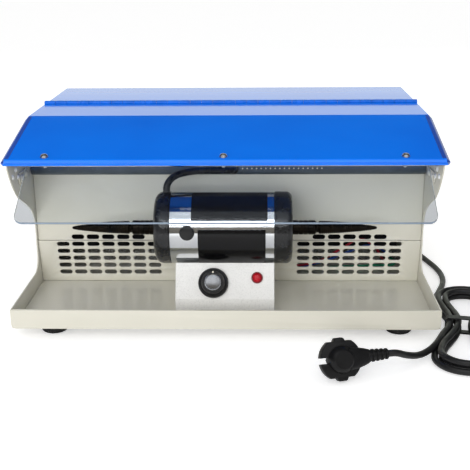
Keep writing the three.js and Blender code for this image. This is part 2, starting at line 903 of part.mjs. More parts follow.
function brushCapShape() {
  const head = motorRadius + gap;
  const cap = turned([
    [0, head - brushShankLength], [brushShankRadius, head - brushShankLength], [brushShankRadius, head],
    [brushHeadRadius, head], [brushHeadRadius, head + brushHeadHeight / 2],
    [brushHeadRadius - brushHeadHeight / 2, head + brushHeadHeight], [0, head + brushHeadHeight],
  ], up, roundSides);
  const top = head + brushHeadHeight;
  const groove = block(
    -brushHeadRadius, brushHeadRadius, -brushSlotWidth / 2, brushSlotWidth / 2, top - brushSlotWidth / 2, top + over,
  );
  return cut(cap, groove);
}

// Pedestal: a bent sheet box under a cradle for the motor
function pedestalShape() {
  const left = pedestalX - pedestalWidth / 2;
  const base = floorTop + gap;
  const outline = [
    [pedestalFrontY, base], [grilleFootY - pedestalBackGap, base],
    [grilleTopY - pedestalBackGap, pedestalTopZ], [pedestalTopY, pedestalTopZ],
    [pedestalFrontY, pedestalKneeZ],
  ];
  const hollow = [
    [pedestalFrontY + sheet, base - over], [grilleFootY + over, base - over],
    [grilleFootY + over, pedestalTopZ - sheet], [pedestalTopY + sheet / 2, pedestalTopZ - sheet],
    [pedestalFrontY + sheet, pedestalKneeZ - sheet / 4],
  ];
  const cradle = (radius) => rod(right, radius, left - over, left + pedestalWidth + over, motorSides)
    .translate([0, motorY, motorZ]);
  const box = cut(alongX(outline, left, left + pedestalWidth), cradle(cradleRadius));
  const room = cut(
    alongX(hollow, left + sheet, left + pedestalWidth - sheet), cradle(cradleRadius + sheet),
  );
  const onSlope = (radius, x, rise) => {
    const bore = rod(up, radius, -over - sheet, over).rotate([90 - THREE.MathUtils.radToDeg(slopeAngle), 0, 0]);
    return bore.translate([x, ...slopePoint(rise)]);
  };
  return cut(
    box, room,
    onSlope(bushRadius + gap, knobX, knobRise), onSlope(lampShankRadius + gap, lampX, lampRise),
  );
}

function slopePoint(rise) {
  return [pedestalFrontY + rise * Math.sin(slopeAngle), pedestalKneeZ + rise * Math.cos(slopeAngle)];
}

// Controls, about an axis up from the pedestal's slope
function knobShape() {
  const base = bushRise + 2 * gap;
  const skirt = turned([
    [0, base], [knobRadius, base], [knobRadius, base + knobSkirt / 2],
    [knobBodyRadius + gap, base + knobSkirt], [knobBodyRadius, knobHeight], [0, knobHeight],
  ], up);
  const shaft = rod(up, knobShaftRadius, -sheet - potDepth, base + over);
  const mark = block(
    -knobPointer / 2, knobPointer / 2, knobCapRadius + gap, knobRadius, knobHeight - knobPointer, knobHeight + gap,
  );
  return cut(join(skirt, shaft), mark);
}

function knobCapShape() {
  const base = knobHeight + gap;
  return turned([
    [0, base], [knobCapRadius, base], [knobCapRadius, base + knobCapHeight / 2],
    [knobCapRadius - knobCapHeight, base + knobCapHeight], [0, base + knobCapHeight],
  ], up, knobCapSides);
}

function potentiometerShape() {
  const bore = knobShaftRadius + gap;
  const inside = -sheet - gap;
  return turned([
    [bore, inside - potDepth], [potRadius, inside - potDepth], [potRadius, inside - potDepth * 0.2],
    [potRadius * 0.9, inside], [bushRadius, inside], [bushRadius, bushRise], [bore, bushRise],
    [bore, inside - potDepth],
  ], up);
}

function lampShape() {
  return turned([
    [0, gap - lampShankLength], [lampShankRadius, gap - lampShankLength], [lampShankRadius, gap],
    [lampRadius, gap], [lampRadius, gap + lampRim], [lampRadius * 0.8, gap + lampRim],
    [lampRadius * 0.7, gap + lampDome * 0.7], [lampRadius * 0.35, gap + lampDome * 0.95], [0, gap + lampDome],
  ], up);
}

// Control board on four posts, with a finned heat sink
function boardShape() {
  const bottom = floorTop + gap;
  const deck = bottom + boardPostHeight;
  const top = deck + boardSheet;
  let board = block(-boardWidth / 2, boardWidth / 2, -boardDepth / 2, boardDepth / 2, deck, top);
  for (const [x, y] of [[-1, -1], [1, -1], [-1, 1], [1, 1]]) {
    const post = rod(up, boardPostRadius, bottom, deck + boardSheet / 2);
    const reach = 2 * boardPostRadius;
    board = join(board, post.translate([x * (boardWidth / 2 - reach), y * (boardDepth / 2 - reach), 0]));
  }
  const pitch = (heatSinkWidth - finSheet) / (heatSinkFins - 1);
  board = join(board, block(0, heatSinkWidth, 0, finSheet, top - boardSheet / 2, top + heatSinkHeight));
  for (let k = 0; k < heatSinkFins; k += 1) {
    const x = k * pitch;
    board = join(board, block(x, x + finSheet, 0, heatSinkDepth, top - boardSheet / 2, top + heatSinkHeight));
  }
  return board;
}

// Rear panel with two fan openings and the cord's hole
function rearPanelShape() {
  const half = innerHalf - gap;
  const bottom = footHeight;
  const face = shapeOf([[-half, bottom], [half, bottom], [half, rearPanelTop], [-half, rearPanelTop]]);
  const openings = [hole(-fanX, fanZ, fanBore - sheet), hole(fanX, fanZ, fanBore - sheet)];
  face.holes.push(...openings, hole(glandX, glandZ, glandHoleRadius));
  return alongY(face, rearInnerY, rearOuterY, fanSteps);
}

// Fan frame, about an axis along Y with its outlet at zero
function fanFrameShape() {
  const half = fanSize / 2;
  const face = shapeOf(chamfered(-half, half, -half, half, fanCorner));
  face.holes.push(hole(0, 0, fanBore));
  let frame = join(
    alongY(face, -fanDepth, fanFlange - fanDepth, fanSteps),
    alongY(face, -fanFlange, 0, fanSteps),
    ring(back, fanBore, fanBore + fanTube, -fanDepth + fanFlange / 2, -fanFlange / 2),
    rod(back, fanHubRadius, -fanHubSheet, 0, roundSides),
    rod(back, axleRadius, -fanHubSheet - axleLength, -fanHubSheet / 2),
  );
  for (let k = 0; k < strutCount; k += 1) {
    const strut = block(fanHubRadius / 2, fanBore + fanTube / 2, -strutWidth / 2, 0, -strutWidth / 2, strutWidth / 2);
    frame = join(frame, strut.rotate([0, 45 + (360 * k) / strutCount, 0]));
  }
  return frame;
}

// Impeller: a cup on the fan's axle with pitched, cambered blades
function impellerShape() {
  const backY = -fanHubSheet - 2 * gap;
  const frontY = backY - impellerHubDepth;
  const bore = axleRadius + gap;
  const sleeve = bore + impellerWall;
  let impeller = turned([
    [bore, backY], [sleeve, backY], [sleeve, frontY + impellerWall],
    [impellerHub - impellerWall, frontY + impellerWall], [impellerHub - impellerWall, backY],
    [impellerHub, backY], [impellerHub, frontY],
    [0, frontY], [0, frontY + impellerWall], [bore, frontY + impellerWall], [bore, backY],
  ], back);
  const camber = [-1, 0, 1].map((share) => [(share * bladeChord) / 2, bladeCamber * (1 - share * share)]);
  const section = shapeOf(strip(camber, bladeSheet));
  for (let k = 0; k < bladeCount; k += 1) {
    const geometry = new THREE.ExtrudeGeometry(section, {
      depth: impellerTip - impellerHub + impellerWall / 2, bevelEnabled: false,
    });
    geometry.translate(0, 0, impellerHub - impellerWall / 2);
    geometry.rotateZ(radians(bladePitch)).translate(0, (frontY + backY) / 2, 0);
    geometry.rotateY((2 * Math.PI * k) / bladeCount);
    impeller = join(impeller, solid(geometry));
  }
  return impeller;
}

// Wire guard: rings on two crossed bars with an eye at each end
function guardShape() {
  const frontY = gap;
  let guard = null;
  for (let k = 0; k < guardRings; k += 1) {
    const radius = guardInner + ((guardOuter - guardInner) * k) / (guardRings - 1);
    const loop = ring(
      back, radius - guardWire / 2, radius + guardWire / 2, frontY + guardWire / 2, frontY + 3 * guardWire / 2,
    );
    guard = guard ? join(guard, loop) : loop;
  }
  for (const angle of [45, 135]) {
    const bar = block(-guardEyeReach, guardEyeReach, frontY, frontY + guardWire, -guardWire / 2, guardWire / 2);
    guard = join(guard, bar.rotate([0, angle, 0]));
    for (const way of [-1, 1]) {
      const eye = rod(back, guardEye, frontY, frontY + guardWire).translate([way * guardEyeReach, 0, 0]);
      guard = join(guard, eye.rotate([0, angle, 0]));
    }
  }
  return guard;
}

function filterOpening(margin) {
  const half = innerHalf - 2 * gap - filterBorder - margin;
  const low = floorTop + gap + filterBorder + margin;
  return [-half, half, low, filterTop - filterBorder - margin];
}

function filterFrameShape() {
  const half = innerHalf - 2 * gap;
  const base = floorTop + gap;
  const [x0, x1, z0, z1] = filterOpening(0);
  const box = block(-half, half, filterY, filterY + filterDepth, base, filterTop);
  const notch = block(
    wireNotchX - wireNotchWidth / 2, wireNotchX + wireNotchWidth / 2, filterY - over, filterY + filterDepth + over,
    base - over, base + wireNotchHeight,
  );
  const lip = filterBorder / 4;
  return cut(
    box, notch,
    block(x0, x1, filterY - over, filterY + filterDepth - filterLip, z0, z1),
    block(x0 + lip, x1 - lip, filterY, filterY + filterDepth + over, z0 + lip, z1 - lip),
  );
}

// Hank: loops in two layers that spiral in and out again, drawn in at the waist
const hankAlong = new THREE.Vector3(Math.sin(radians(hankTilt)), Math.cos(radians(hankTilt)), 0);
const hankAside = new THREE.Vector3(-hankAlong.y, hankAlong.x, 0);
const loopPitch = cordDiameter + loopGap;
const foldSteps = loopSteps / 3;
const runSteps = loopSteps / 6;

function hankPoint(step) {
  const turns = Math.abs(step - hankSteps / 2) / loopSteps;
  const radius = foldRadius + turns * loopPitch;
  const waist = waistHalf + turns * waistStep;
  const half = loopSteps / 2;
  const inLoop = step % loopSteps;
  const side = inLoop < half ? 1 : -1;
  const inHalf = inLoop % half;
  let along = 0;
  let aside = 0;
  if (inHalf <= runSteps) {
    along = hankRun * (1 - (2 * inHalf) / runSteps);
    aside = waist + ((radius - waist) * (1 - Math.cos((Math.PI * along) / hankRun))) / 2;
  } else {
    const angle = (Math.PI * (inHalf - runSteps)) / foldSteps;
    along = -hankRun - radius * Math.sin(angle);
    aside = radius * Math.cos(angle);
  }
  const climb = THREE.MathUtils.smoothstep(step, climbStart, climbStart + climbSteps);
  const lift = waistLift * Math.exp(-((along / waistReach) ** 2));
  const place = new THREE.Vector3(hankX, hankY, cordRadius + cordRest + lift + climb * loopPitch);
  place.addScaledVector(hankAlong, side * along);
  return place.addScaledVector(hankAside, side * aside);
}

const hankLine = [...Array(hankSteps + 1).keys()].map(hankPoint);

function leastGap(points, diameter) {
  let least = Infinity;
  const skip = foldSteps;
  const near = new THREE.Vector3();
  for (let i = 0; i < points.length; i += 1) {
    for (let k = 0; k < points.length - 1; k += 1) {
      if (k > i - skip && k < i + skip) continue;
      new THREE.Line3(points[k], points[k + 1]).closestPointToPoint(points[i], true, near);
      least = Math.min(least, near.distanceTo(points[i]) - diameter);
    }
  }
  return least;
}

// Tie: a band round the hank's waist
function tieShape() {
  const outerTurns = hankSteps / 2 / loopSteps;
  const reach = waistHalf + outerTurns * waistStep + cordRadius + 2 * gap;
  const top = cordRest + waistLift + loopPitch + cordDiameter + gap;
  const inner = chamfered(-reach, reach, tieSheet + cordRest, top, cordRadius / 2);
  const outer = chamfered(-reach - tieSheet, reach + tieSheet, cordRest, top + tieSheet, cordRadius);
  return cut(alongY(outer, -tieWidth / 2, tieWidth / 2), alongY(inner, -tieWidth / 2 - over, tieWidth / 2 + over));
}

// Plug: a flat disc with its pins behind, a boss in front and the cord's relief at the side
function plugShape() {
  const half = plugSheet / 2;
  const outer = Math.sqrt(plugRadius ** 2 - plugFlat ** 2);
  const corner = Math.atan2(plugFlat, outer);
  const disc = new THREE.Shape();
  disc.absarc(0, 0, plugRadius, -corner, corner);
  disc.absarc(0, 0, plugRadius, Math.PI - corner, Math.PI + corner);
  const wings = chamfered(-plugWingWidth / 2, plugWingWidth / 2, -plugWing, plugWing, plugWingWidth / 5);
  const neck = [
    [0, -plugNeckHalf], [plugNeckReach, -reliefRadius], [plugNeckReach, reliefRadius], [0, plugNeckHalf],
  ];
  const ribs = [];
  const ribPitch = (reliefReach - plugNeckReach) / reliefRibs;
  for (let k = 0; k < reliefRibs; k += 1) {
    const radius = reliefRadius + ((reliefTip - reliefRadius) * (k + 1)) / reliefRibs;
    const start = plugNeckReach + k * ribPitch;
    ribs.push([radius - ribDepth, start], [radius - ribDepth, start + ribPitch / 2]);
    ribs.push([radius, start + ribPitch / 2], [radius, start + ribPitch]);
  }
  const relief = turned([[0, plugRadius / 2], [reliefTip, plugRadius / 2], ...ribs, [0, reliefReach]], right, smallSides);
  const boss = turned([
    [0, 0], [plugBossRadius, 0], [plugBossRadius, half + plugBossHeight * 0.6],
    [plugBossRadius * 0.75, half + plugBossHeight], [0, half + plugBossHeight],
  ], up);
  const pins = [-1, 1].map((way) => rod(up, plugPinRadius, -half - plugPinLength, 0, smallSides)
    .translate([0, (way * plugPinPitch) / 2, 0]));
  const notch = block(
    -plugRadius - over, -plugRadius + plugNotchDepth, -plugNotchWidth / 2, plugNotchWidth / 2,
    -half - over, half + over,
  );
  const body = join(
    alongZ(disc, -half, half, plugSteps), alongZ(wings, -half, half), boss,
    alongZ(neck, -half, plugNeckDepth - half),
  );
  return join(cut(body, notch), relief, ...pins);
}

const points = (rows) => rows.map(([x, y, z]) => new THREE.Vector3(x, y, z));

// Routes of the cords, chosen by hand, in millimetres
const mainsRoute = points([
  [185, 375.5, 32], [185, 385.5, 31.2], [187.5, 398, 27.5], [196, 408.5, 21.5], [209, 413, 14.8], [222.5, 410, 9.2],
  [233, 400.5, 5.2], [238.5, 387, 3.6], [239.5, 370, 3.4], [237.5, 343, 3.4], [234.5, 313, 3.4],
  [234, 284, 3.4], [237, 256, 3.4], [243, 230, 3.4], [248.5, 204, 3.4], [250, 178, 3.4],
  [246, 152, 3.4], [237.5, 128, 3.4], [231, 110, 3.4], [229.5, 101, 3.4], [229.5, 95.25, 3.4],
]);
const tailRoute = points([
  [214.35, -9.6, 10.7], [211.4, -16.2, 10.4], [204.6, -28.5, 9.2], [195, -41.5, 8.3], [183.6, -53, 9.4],
  [171.6, -62.6, 14], [160.2, -69.2, 19.2], [152.3, -71.95, 19.93],
]);
const motorLeadRoute = points([
  [-62, 78, 132.2], [-62, 78.4, 137], [-59.5, 81, 143], [-53, 87, 147.6], [-42, 93, 149.6], [-28, 97.5, 150.2],
  [-14, 100.5, 149.8], [-3, 103.4, 149.1], [3.6, 106.6, 148.6], [6, 111, 148.5], [6, 116.4, 148.5],
]);
const wireRoutes = [
  ['wire_red', materials.wireRed, points([
    [181, 336.4, 36], [184, 300, 24], [186, 240, 19], [186, 205, 18], [180, 180, 24], [168, 162, 44],
    [150, 154, 57], [128, 152, 46], [100, 153, 30], [60, 150, 26], [32, 144, 31], [22, 137, 33], [22, 120, 33],
    [22, 110, 29], [22, 104, 24.2],
  ])],
  ['wire_blue', materials.wireBlue, points([
    [189, 336.4, 36], [190, 300, 27], [190, 240, 22.5], [190, 205, 21.5], [188, 190, 24], [182, 180, 33],
    [164, 171, 44], [138, 166, 38], [104, 161, 26], [62, 157, 21.5], [36, 150, 26], [25.8, 140, 28.6], [25.8, 122, 28.6],
    [26, 112, 26.8], [26, 104, 24.2],
  ])],
  ['wire_green', materials.wireGreen, points([
    [185, 336.4, 27.5], [188, 300, 20], [189.5, 240, 17.4], [192.5, 205, 17], [196, 190, 17], [191, 180, 16.8],
    [174, 178, 17], [140, 173, 17.4], [104, 169, 17.2], [62, 165, 16.4], [34, 156, 19], [20.5, 146, 25], [19, 138, 29],
    [19, 122, 28.8], [18, 112, 26.6], [18, 104, 24.2],
  ])],
];

// Assembly
add('base_tray', trayShape(), materials.beige);
for (const [side, way] of sides) {
  const panel = add(`side_panel_${side}`, sidePanelShape(), materials.beige);
  panel.position.x = way > 0 ? innerHalf : -halfBody;
}
for (const [end, y] of [['front', footInsetY], ['rear', bodyDepth - footInsetY]]) {
  for (const [side, way] of sides) {
    const foot = add(`foot_${end}_${side}`, footShape(), materials.rubber);
    foot.position.set(way * (halfBody - footInsetX), y, 0);
  }
}

add('upper_back_panel', upperPanelShape(), materials.beige);
const grille = add('grille_panel', grilleShape(), materials.beige);
grille.position.set(0, grilleFootY, floorTop + gap);
grille.rotation.x = grilleLean;
add('rear_panel', rearPanelShape(), materials.beige);
add('rear_top_plate', rearTopShape(), materials.blue);

add('front_lid', lidShape(), materials.blue);
const hinge = groupAt(0, hingeY, hingeZ);
add('hinge_leaf_rear', hingeLeafShape(1, 0), materials.blue, hinge);
add('hinge_leaf_lid', hingeLeafShape(-1, 1), materials.blue, hinge);
add('hinge_pin', rod(right, pinRadius, leafInset - hoodWidth / 2, hoodWidth / 2 - leafInset, 8), materials.steel, hinge);
add('shield', shieldShape(), materials.clear);
for (const [name, x] of bolts) {
  const bolt = add(`shield_bolt_${name}`, boltShape(), materials.steel);
  bolt.position.set(x, boltY, slantZ(boltY));
  bolt.rotation.x = slantAngle;
}
for (const [side, way] of sides) {
  const rest = add(`lid_rest_${side}`, lidRestShape(), materials.steel);
  rest.position.set(way * (innerHalf - gap), restY, restZ);
  if (way > 0) rest.rotation.z = Math.PI;
}

add('light_bar', lightBarShape(), materials.slate);
const ledStrip = add('led_strip', block(
  -ledStripLength / 2, ledStripLength / 2, -ledStripSheet, 0, -ledStripHeight / 2, ledStripHeight / 2,
), materials.led);
ledStrip.position.set(ledStripX, barFrontY - gap, ledStripZ + barSlant);

const motor = groupAt(motorX, motorY, motorZ);
add('motor_barrel', barrelShape(), materials.chrome, motor);
const capLeft = add('motor_cap_left', capShape(motorHalf - barrelLeft, capRoundLeft), materials.blackGloss, motor);
capLeft.position.x = -barrelLeft;
capLeft.rotation.z = Math.PI;
const capRight = add('motor_cap_right', capShape(motorHalf - barrelRight, capRoundRight), materials.blackGloss, motor);
capRight.position.x = barrelRight;
add('name_plate', alongX(
  sector(motorRadius + gap, motorRadius + gap + labelSheet, labelLow, labelHigh, 8), -labelLeft, labelRight,
), materials.label, motor);
add('motor_saddle', alongX(
  sector(motorRadius + gap, motorRadius + gap + saddleSheet, -180 - saddleAngle, saddleAngle, roundSides),
  -saddleLeft, saddleRight,
), materials.blackMatt, motor);
for (const [end, way] of [['front', 1], ['rear', -1]]) {
  const cap = add(`brush_cap_${end}`, brushCapShape(), materials.blackMatt, motor);
  cap.position.x = brushX;
  cap.rotation.x = way * Math.PI / 2 - radians(brushAngle);
}
for (const [side, way] of sides) {
  const bearing = add(`bearing_${side}`, ring(
    right, shaftRadius + gap, bearingRadius, -bearingWidth / 2, bearingWidth / 2,
  ), materials.steel, motor);
  bearing.position.x = way * (motorHalf - capWall - gap - bearingWidth / 2);
  const spindle = add(`spindle_${side}`, spindleShape(), materials.blackMatt, motor);
  if (way < 0) spindle.rotation.z = Math.PI;
}
add('rotor', rotorShape(), materials.steel, motor);
add('motor_lead', cable(motorLeadRoute, leadRadius, leadSides, leadSteps), materials.blackMatt);
const grommet = add('lead_grommet', turned([
  [grommetBore, -grommetHeight], [grommetRadius - gap, -grommetHeight], [grommetRadius, -gap],
  [grommetBore, -gap], [grommetBore, -grommetHeight],
], back), materials.rubber);
grommet.position.set(leadEndX, barFrontY, leadEndZ);

add('control_pedestal', pedestalShape(), materials.hammered);
const knobGroup = groupAt(knobX, ...slopePoint(knobRise));
knobGroup.rotation.x = Math.PI / 2 - slopeAngle;
add('speed_knob', knobShape(), materials.blackMatt, knobGroup);
add('knob_cap', knobCapShape(), materials.chrome, knobGroup);
add('speed_potentiometer', potentiometerShape(), materials.steel, knobGroup);
const lamp = add('pilot_lamp', lampShape(), materials.red);
lamp.position.set(lampX, ...slopePoint(lampRise));
lamp.rotation.x = Math.PI / 2 - slopeAngle;
const board = add('speed_control_board', boardShape(), materials.board);
board.position.set(boardX, boardY, 0);

for (const [side, way] of sides) {
  const fan = groupAt(way * fanX, rearInnerY - gap, fanZ);
  add(`fan_frame_${side}`, fanFrameShape(), materials.fan, fan);
  add(`fan_impeller_${side}`, impellerShape(), materials.fan, fan);
  const guard = groupAt(way * fanX, rearOuterY, fanZ);
  add(`fan_guard_${side}`, guardShape(), materials.steel, guard);
}
add('filter_frame', filterFrameShape(), materials.steel);
const [padX0, padX1, padZ0, padZ1] = filterOpening(gap);
add('filter_pad', block(
  padX0, padX1, filterY + gap, filterY + filterDepth - filterLip - gap, padZ0, padZ1,
), materials.foam);

for (const [name, material, route] of wireRoutes) {
  add(name, cable(route, wireRadius, wireSides, wireSteps), material);
}

const gland = add('cord_gland', turned([
  [0, -sheet - gap - glandFlange], [glandFlangeRadius, -sheet - gap - glandFlange],
  [glandFlangeRadius, -sheet - gap], [glandRootRadius, -sheet - gap], [glandRootRadius, gap],
  [glandFlangeRadius, gap], [glandFlangeRadius, gap + glandFlange], [glandRootRadius, gap + glandFlange],
  [glandTipRadius, glandLength], [0, glandLength],
], back, roundSides), materials.rubber);
gland.position.set(glandX, rearOuterY, glandZ);
add('mains_cord', cable(mainsRoute, cordRadius, cordSides, cordSteps), materials.rubber);
add('cord_hank', tube(hankLine, cordRadius, hankSides), materials.rubber);
add('cord_tail', cable(tailRoute, cordRadius, cordSides, tailSteps), materials.rubber);
const tie = add('hank_tie', tieShape(), materials.blackMatt);
tie.position.set(hankX, hankY, 0);
tie.rotation.z = -radians(hankTilt);
const plugRise = (plugWing * Math.cos(radians(plugLean))) + (plugSheet / 2) * Math.sin(radians(plugLean)) + cordRest;
const plugTurn = groupAt(plugX, plugY, plugRise);
plugTurn.rotation.z = radians(plugYaw);
const plug = add('mains_plug', plugShape(), materials.blackMatt, plugTurn);
plug.rotation.x = Math.PI / 2 - radians(plugLean);

console.log('least gap between the hank\'s turns, mm:', leastGap(hankLine, cordDiameter).toFixed(2));

// The origin goes under the middle of the machine without its cord
const shieldSlope = Math.atan2(shieldKneeZ - shieldFootZ, shieldKneeY - shieldFootY);
const frontEnd = shieldFootY - (shieldSheet / 2) * Math.sin(shieldSlope);
const rearEnd = rearOuterY + gap + (3 * guardWire) / 2;
machine.position.y = -(frontEnd + rearEnd) / 2;

export default machine;
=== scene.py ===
"""Bench polishing machine: camera, cords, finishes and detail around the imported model.

Sizes are in millimetres, from the middle of the machine (X), the tray's front face (Y) and the
plane that the feet stand on (Z). at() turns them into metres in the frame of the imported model.
"""

import json
import math

import bmesh
import bpy
from mathutils import Matrix, Vector


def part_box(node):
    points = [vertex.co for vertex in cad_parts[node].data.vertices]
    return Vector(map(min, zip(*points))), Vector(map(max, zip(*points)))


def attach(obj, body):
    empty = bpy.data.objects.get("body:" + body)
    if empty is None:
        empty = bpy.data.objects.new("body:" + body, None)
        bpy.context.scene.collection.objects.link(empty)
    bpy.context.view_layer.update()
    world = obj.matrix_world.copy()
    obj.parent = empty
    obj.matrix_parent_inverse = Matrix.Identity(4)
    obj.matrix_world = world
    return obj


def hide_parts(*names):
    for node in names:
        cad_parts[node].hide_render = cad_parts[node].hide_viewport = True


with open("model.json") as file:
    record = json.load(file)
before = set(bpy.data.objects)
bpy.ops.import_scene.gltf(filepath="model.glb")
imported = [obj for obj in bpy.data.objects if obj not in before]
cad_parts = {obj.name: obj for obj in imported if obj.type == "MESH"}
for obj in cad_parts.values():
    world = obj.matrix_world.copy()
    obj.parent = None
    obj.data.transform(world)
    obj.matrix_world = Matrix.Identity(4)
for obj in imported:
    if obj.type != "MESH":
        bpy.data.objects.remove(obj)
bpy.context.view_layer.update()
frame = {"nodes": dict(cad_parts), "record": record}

MM = 0.001
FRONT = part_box("base_tray")[0].y
RECORD = frame["record"]
BODY_OF = {node: body for body, nodes in RECORD["behaviour"]["bodies"].items() for node in nodes}
SLOT_OF = {part["node"]: part["material_slot"] for part in RECORD["subparts"]}

# Places on the machine
HALF_BODY = 215
FOOT_HEIGHT = 12
SHEET = 1.5
GAP = 0.3
HOOD_TOP = 203.3
HOOD_SKIN = 1.2
FOLD_Y = 137
BEND_Y = 26
BEND_Z = 179.3
SLANT = math.atan2(HOOD_TOP - BEND_Z, FOLD_Y - BEND_Y)
HINGE_Y = 217.5
HINGE_Z = 203.8
MOTOR_X = -2.8
MOTOR_Y = 78
MOTOR_Z = 94.3
MOTOR_RADIUS = 37.4
MOTOR_HALF = 71.6
REAR_Y = 341.2


def at(x, y, z):
    """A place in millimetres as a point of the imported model's frame."""
    return Vector((x * MM, FRONT + y * MM, z * MM))


TO_FRAME = Matrix.Translation((0, FRONT, 0)) @ Matrix.Scale(MM, 4)


def shift(x, y, z):
    return Matrix.Translation((x, y, z))


def spin(degrees, axis):
    return Matrix.Rotation(math.radians(degrees), 4, axis)


def slope_z(y):
    """The height of the hood's slope at a place along Y."""
    return BEND_Z + (y - BEND_Y) * math.tan(SLANT)


# Camera
CAMERA_PLACE = (36.0, -832.8, 376.3)
CAMERA_YAW = -1.71
CAMERA_PITCH = 17.66
CAMERA_ROLL = -0.515
SENSOR_WIDTH = 36
LENS = 69.25
CLIP_END = 50


def make_camera():
    data = bpy.data.cameras.new("camera")
    data.sensor_width = SENSOR_WIDTH
    data.lens = LENS
    data.clip_end = CLIP_END
    camera = bpy.data.objects.new("camera", data)
    turn = spin(-CAMERA_YAW, "Z") @ spin(90 - CAMERA_PITCH, "X") @ spin(CAMERA_ROLL, "Z")
    camera.matrix_world = Matrix.Translation(at(*CAMERA_PLACE)) @ turn
    bpy.context.scene.collection.objects.link(camera)
    bpy.context.scene.camera = camera


# Shader nodes. A mix node's sockets for colours stand after those for numbers and vectors.
MIX_COLORS = (6, 7)
MIX_RESULT = 2


def linear(code):
    """A colour written as six hexadecimal digits, as a shader's four numbers."""
    parts = [int(code[i:i + 2], 16) / 255 for i in (0, 2, 4)]
    return [*(p / 12.92 if p <= 0.04045 else ((p + 0.055) / 1.055) ** 2.4 for p in parts), 1]


def link(owner, source, target):
    """Links a socket to another one, or gives it a value. The owner is a material or the world."""
    if isinstance(source, bpy.types.NodeSocket):
        owner.node_tree.links.new(source, target)
    else:
        target.default_value = source


def node(owner, kind, **settings):
    """Adds a shader node. Inputs are given by name with _ for a space, and other settings as they are."""
    added = owner.node_tree.nodes.new(kind)
    for key, value in settings.items():
        socket = added.inputs.get(key.replace("_", " "))
        if socket is None:
            setattr(added, key, value)
        else:
            link(owner, value, socket)
    return added


def main_of(material):
    return material.node_tree.nodes["Principled BSDF"]


def surface_of(material):
    return material.node_tree.nodes["Material Output"].inputs["Surface"]


materials = {}


def shader(name, color, roughness, **sockets):
    """A Principled material, kept under its name. Sockets are given by name with _ for a space."""
    made = bpy.data.materials.new(name)
    materials[name] = made
    made.use_nodes = True
    main = main_of(made)
    main.inputs["Base Color"].default_value = linear(color)
    main.inputs["Roughness"].default_value = roughness
    for key, value in sockets.items():
        main.inputs[key.replace("_", " ")].default_value = value
    return made


def noise(material, size, detail, roughness):
    """Noise whose features are about size millimetres across."""
    place = node(material, "ShaderNodeTexCoord").outputs["Object"]
    scaled = node(material, "ShaderNodeMapping", Vector=place, Scale=[1 / MM] * 3).outputs["Vector"]
    return node(
        material, "ShaderNodeTexNoise", Vector=scaled, Scale=1 / size, Detail=detail, Roughness=roughness,
    ).outputs["Fac"]


def spread(owner, value, low, high, to_low=0, to_high=1):
    """The value's range from low to high, mapped to another range."""
    return node(
        owner, "ShaderNodeMapRange",
        Value=value, From_Min=low, From_Max=high, To_Min=to_low, To_Max=to_high,
    ).outputs["Result"]


def mixed(owner, factor, *colors):
    """A colour between two, by a factor. Each colour is a socket or four numbers."""
    mix = node(owner, "ShaderNodeMix", data_type="RGBA")
    link(owner, factor, mix.inputs[0])
    for k, color in zip(MIX_COLORS, colors):
        link(owner, color, mix.inputs[k])
    return mix.outputs[MIX_RESULT]


def worked_out(owner, operation, *values):
    """The outcome of a math node, from sockets or numbers."""
    made = node(owner, "ShaderNodeMath", operation=operation)
    for value, socket in zip(values, made.inputs):
        link(owner, value, socket)
    return made.outputs[0]


def tinted(material, size, color, other, low, high, detail, roughness=0.55):
    """Base colour that drifts between two colours over size millimetres."""
    factor = spread(material, noise(material, size, detail, roughness), low, high)
    drift = mixed(material, factor, linear(color), linear(other))
    link(material, drift, main_of(material).inputs["Base Color"])


def scuffed(material, size, low, high):
    """Roughness that varies over size millimetres."""
    value = spread(material, noise(material, size, 4, 0.6), 0.3, 0.7, low, high)
    link(material, value, main_of(material).inputs["Roughness"])


def raised(material, *layers):
    """Bump from layers of noise, each given as size and height in millimetres."""
    normal = None
    for size, height in layers:
        rise = noise(material, size, 2, 0.5)
        bump = node(material, "ShaderNodeBump", Strength=1.0, Distance=height * MM, Height=rise)
        if normal is not None:
            link(material, normal, bump.inputs["Normal"])
        normal = bump.outputs["Normal"]
    link(material, normal, main_of(material).inputs["Normal"])


def paint(name, color, other, roughness, peel=0.02, grain=1.6, mottle=45):
    """Powder coat: a slow drift of colour, a fine orange peel and a little change in gloss."""
    made = shader(name, color, roughness)
    tinted(made, mottle, color, other, low=0.38, high=0.66, detail=5)
    scuffed(made, 22, roughness - 0.06, roughness + 0.1)
    raised(made, (grain, peel), (9, peel * 0.8))


def gloss_paint(name, color, other, roughness, **sockets):
    """Smooth coat of an even gloss."""
    made = shader(name, color, roughness, **sockets)
    tinted(made, 120, color, other, low=0.38, high=0.66, detail=2)
    raised(made, (1.4, 0.002))


def speckled(name, color, speck, roughness):
    """Hammered light paint with fine grey specks."""
    made = shader(name, color, roughness)
    tinted(made, 0.8, color, speck, low=0.52, high=0.68, detail=2, roughness=0.7)
    scuffed(made, 14, roughness - 0.05, roughness + 0.12)
    raised(made, (1.1, 0.05), (4, 0.03))


def plastic(name, color, other, roughness, grain=0.7, height=0.012, **sockets):
    made = shader(name, color, roughness, **sockets)
    tinted(made, 12, color, other, low=0.35, high=0.7, detail=4)
    scuffed(made, 8, roughness - 0.07, roughness + 0.1)
    raised(made, (grain, height))


def metal(name, color, other, roughness, height=0.004):
    made = shader(name, color, roughness, Metallic=1.0)
    tinted(made, 16, color, other, low=0.35, high=0.7, detail=4)
    scuffed(made, 6, max(roughness - 0.05, 0.02), roughness + 0.07)
    raised(made, (1.2, height))


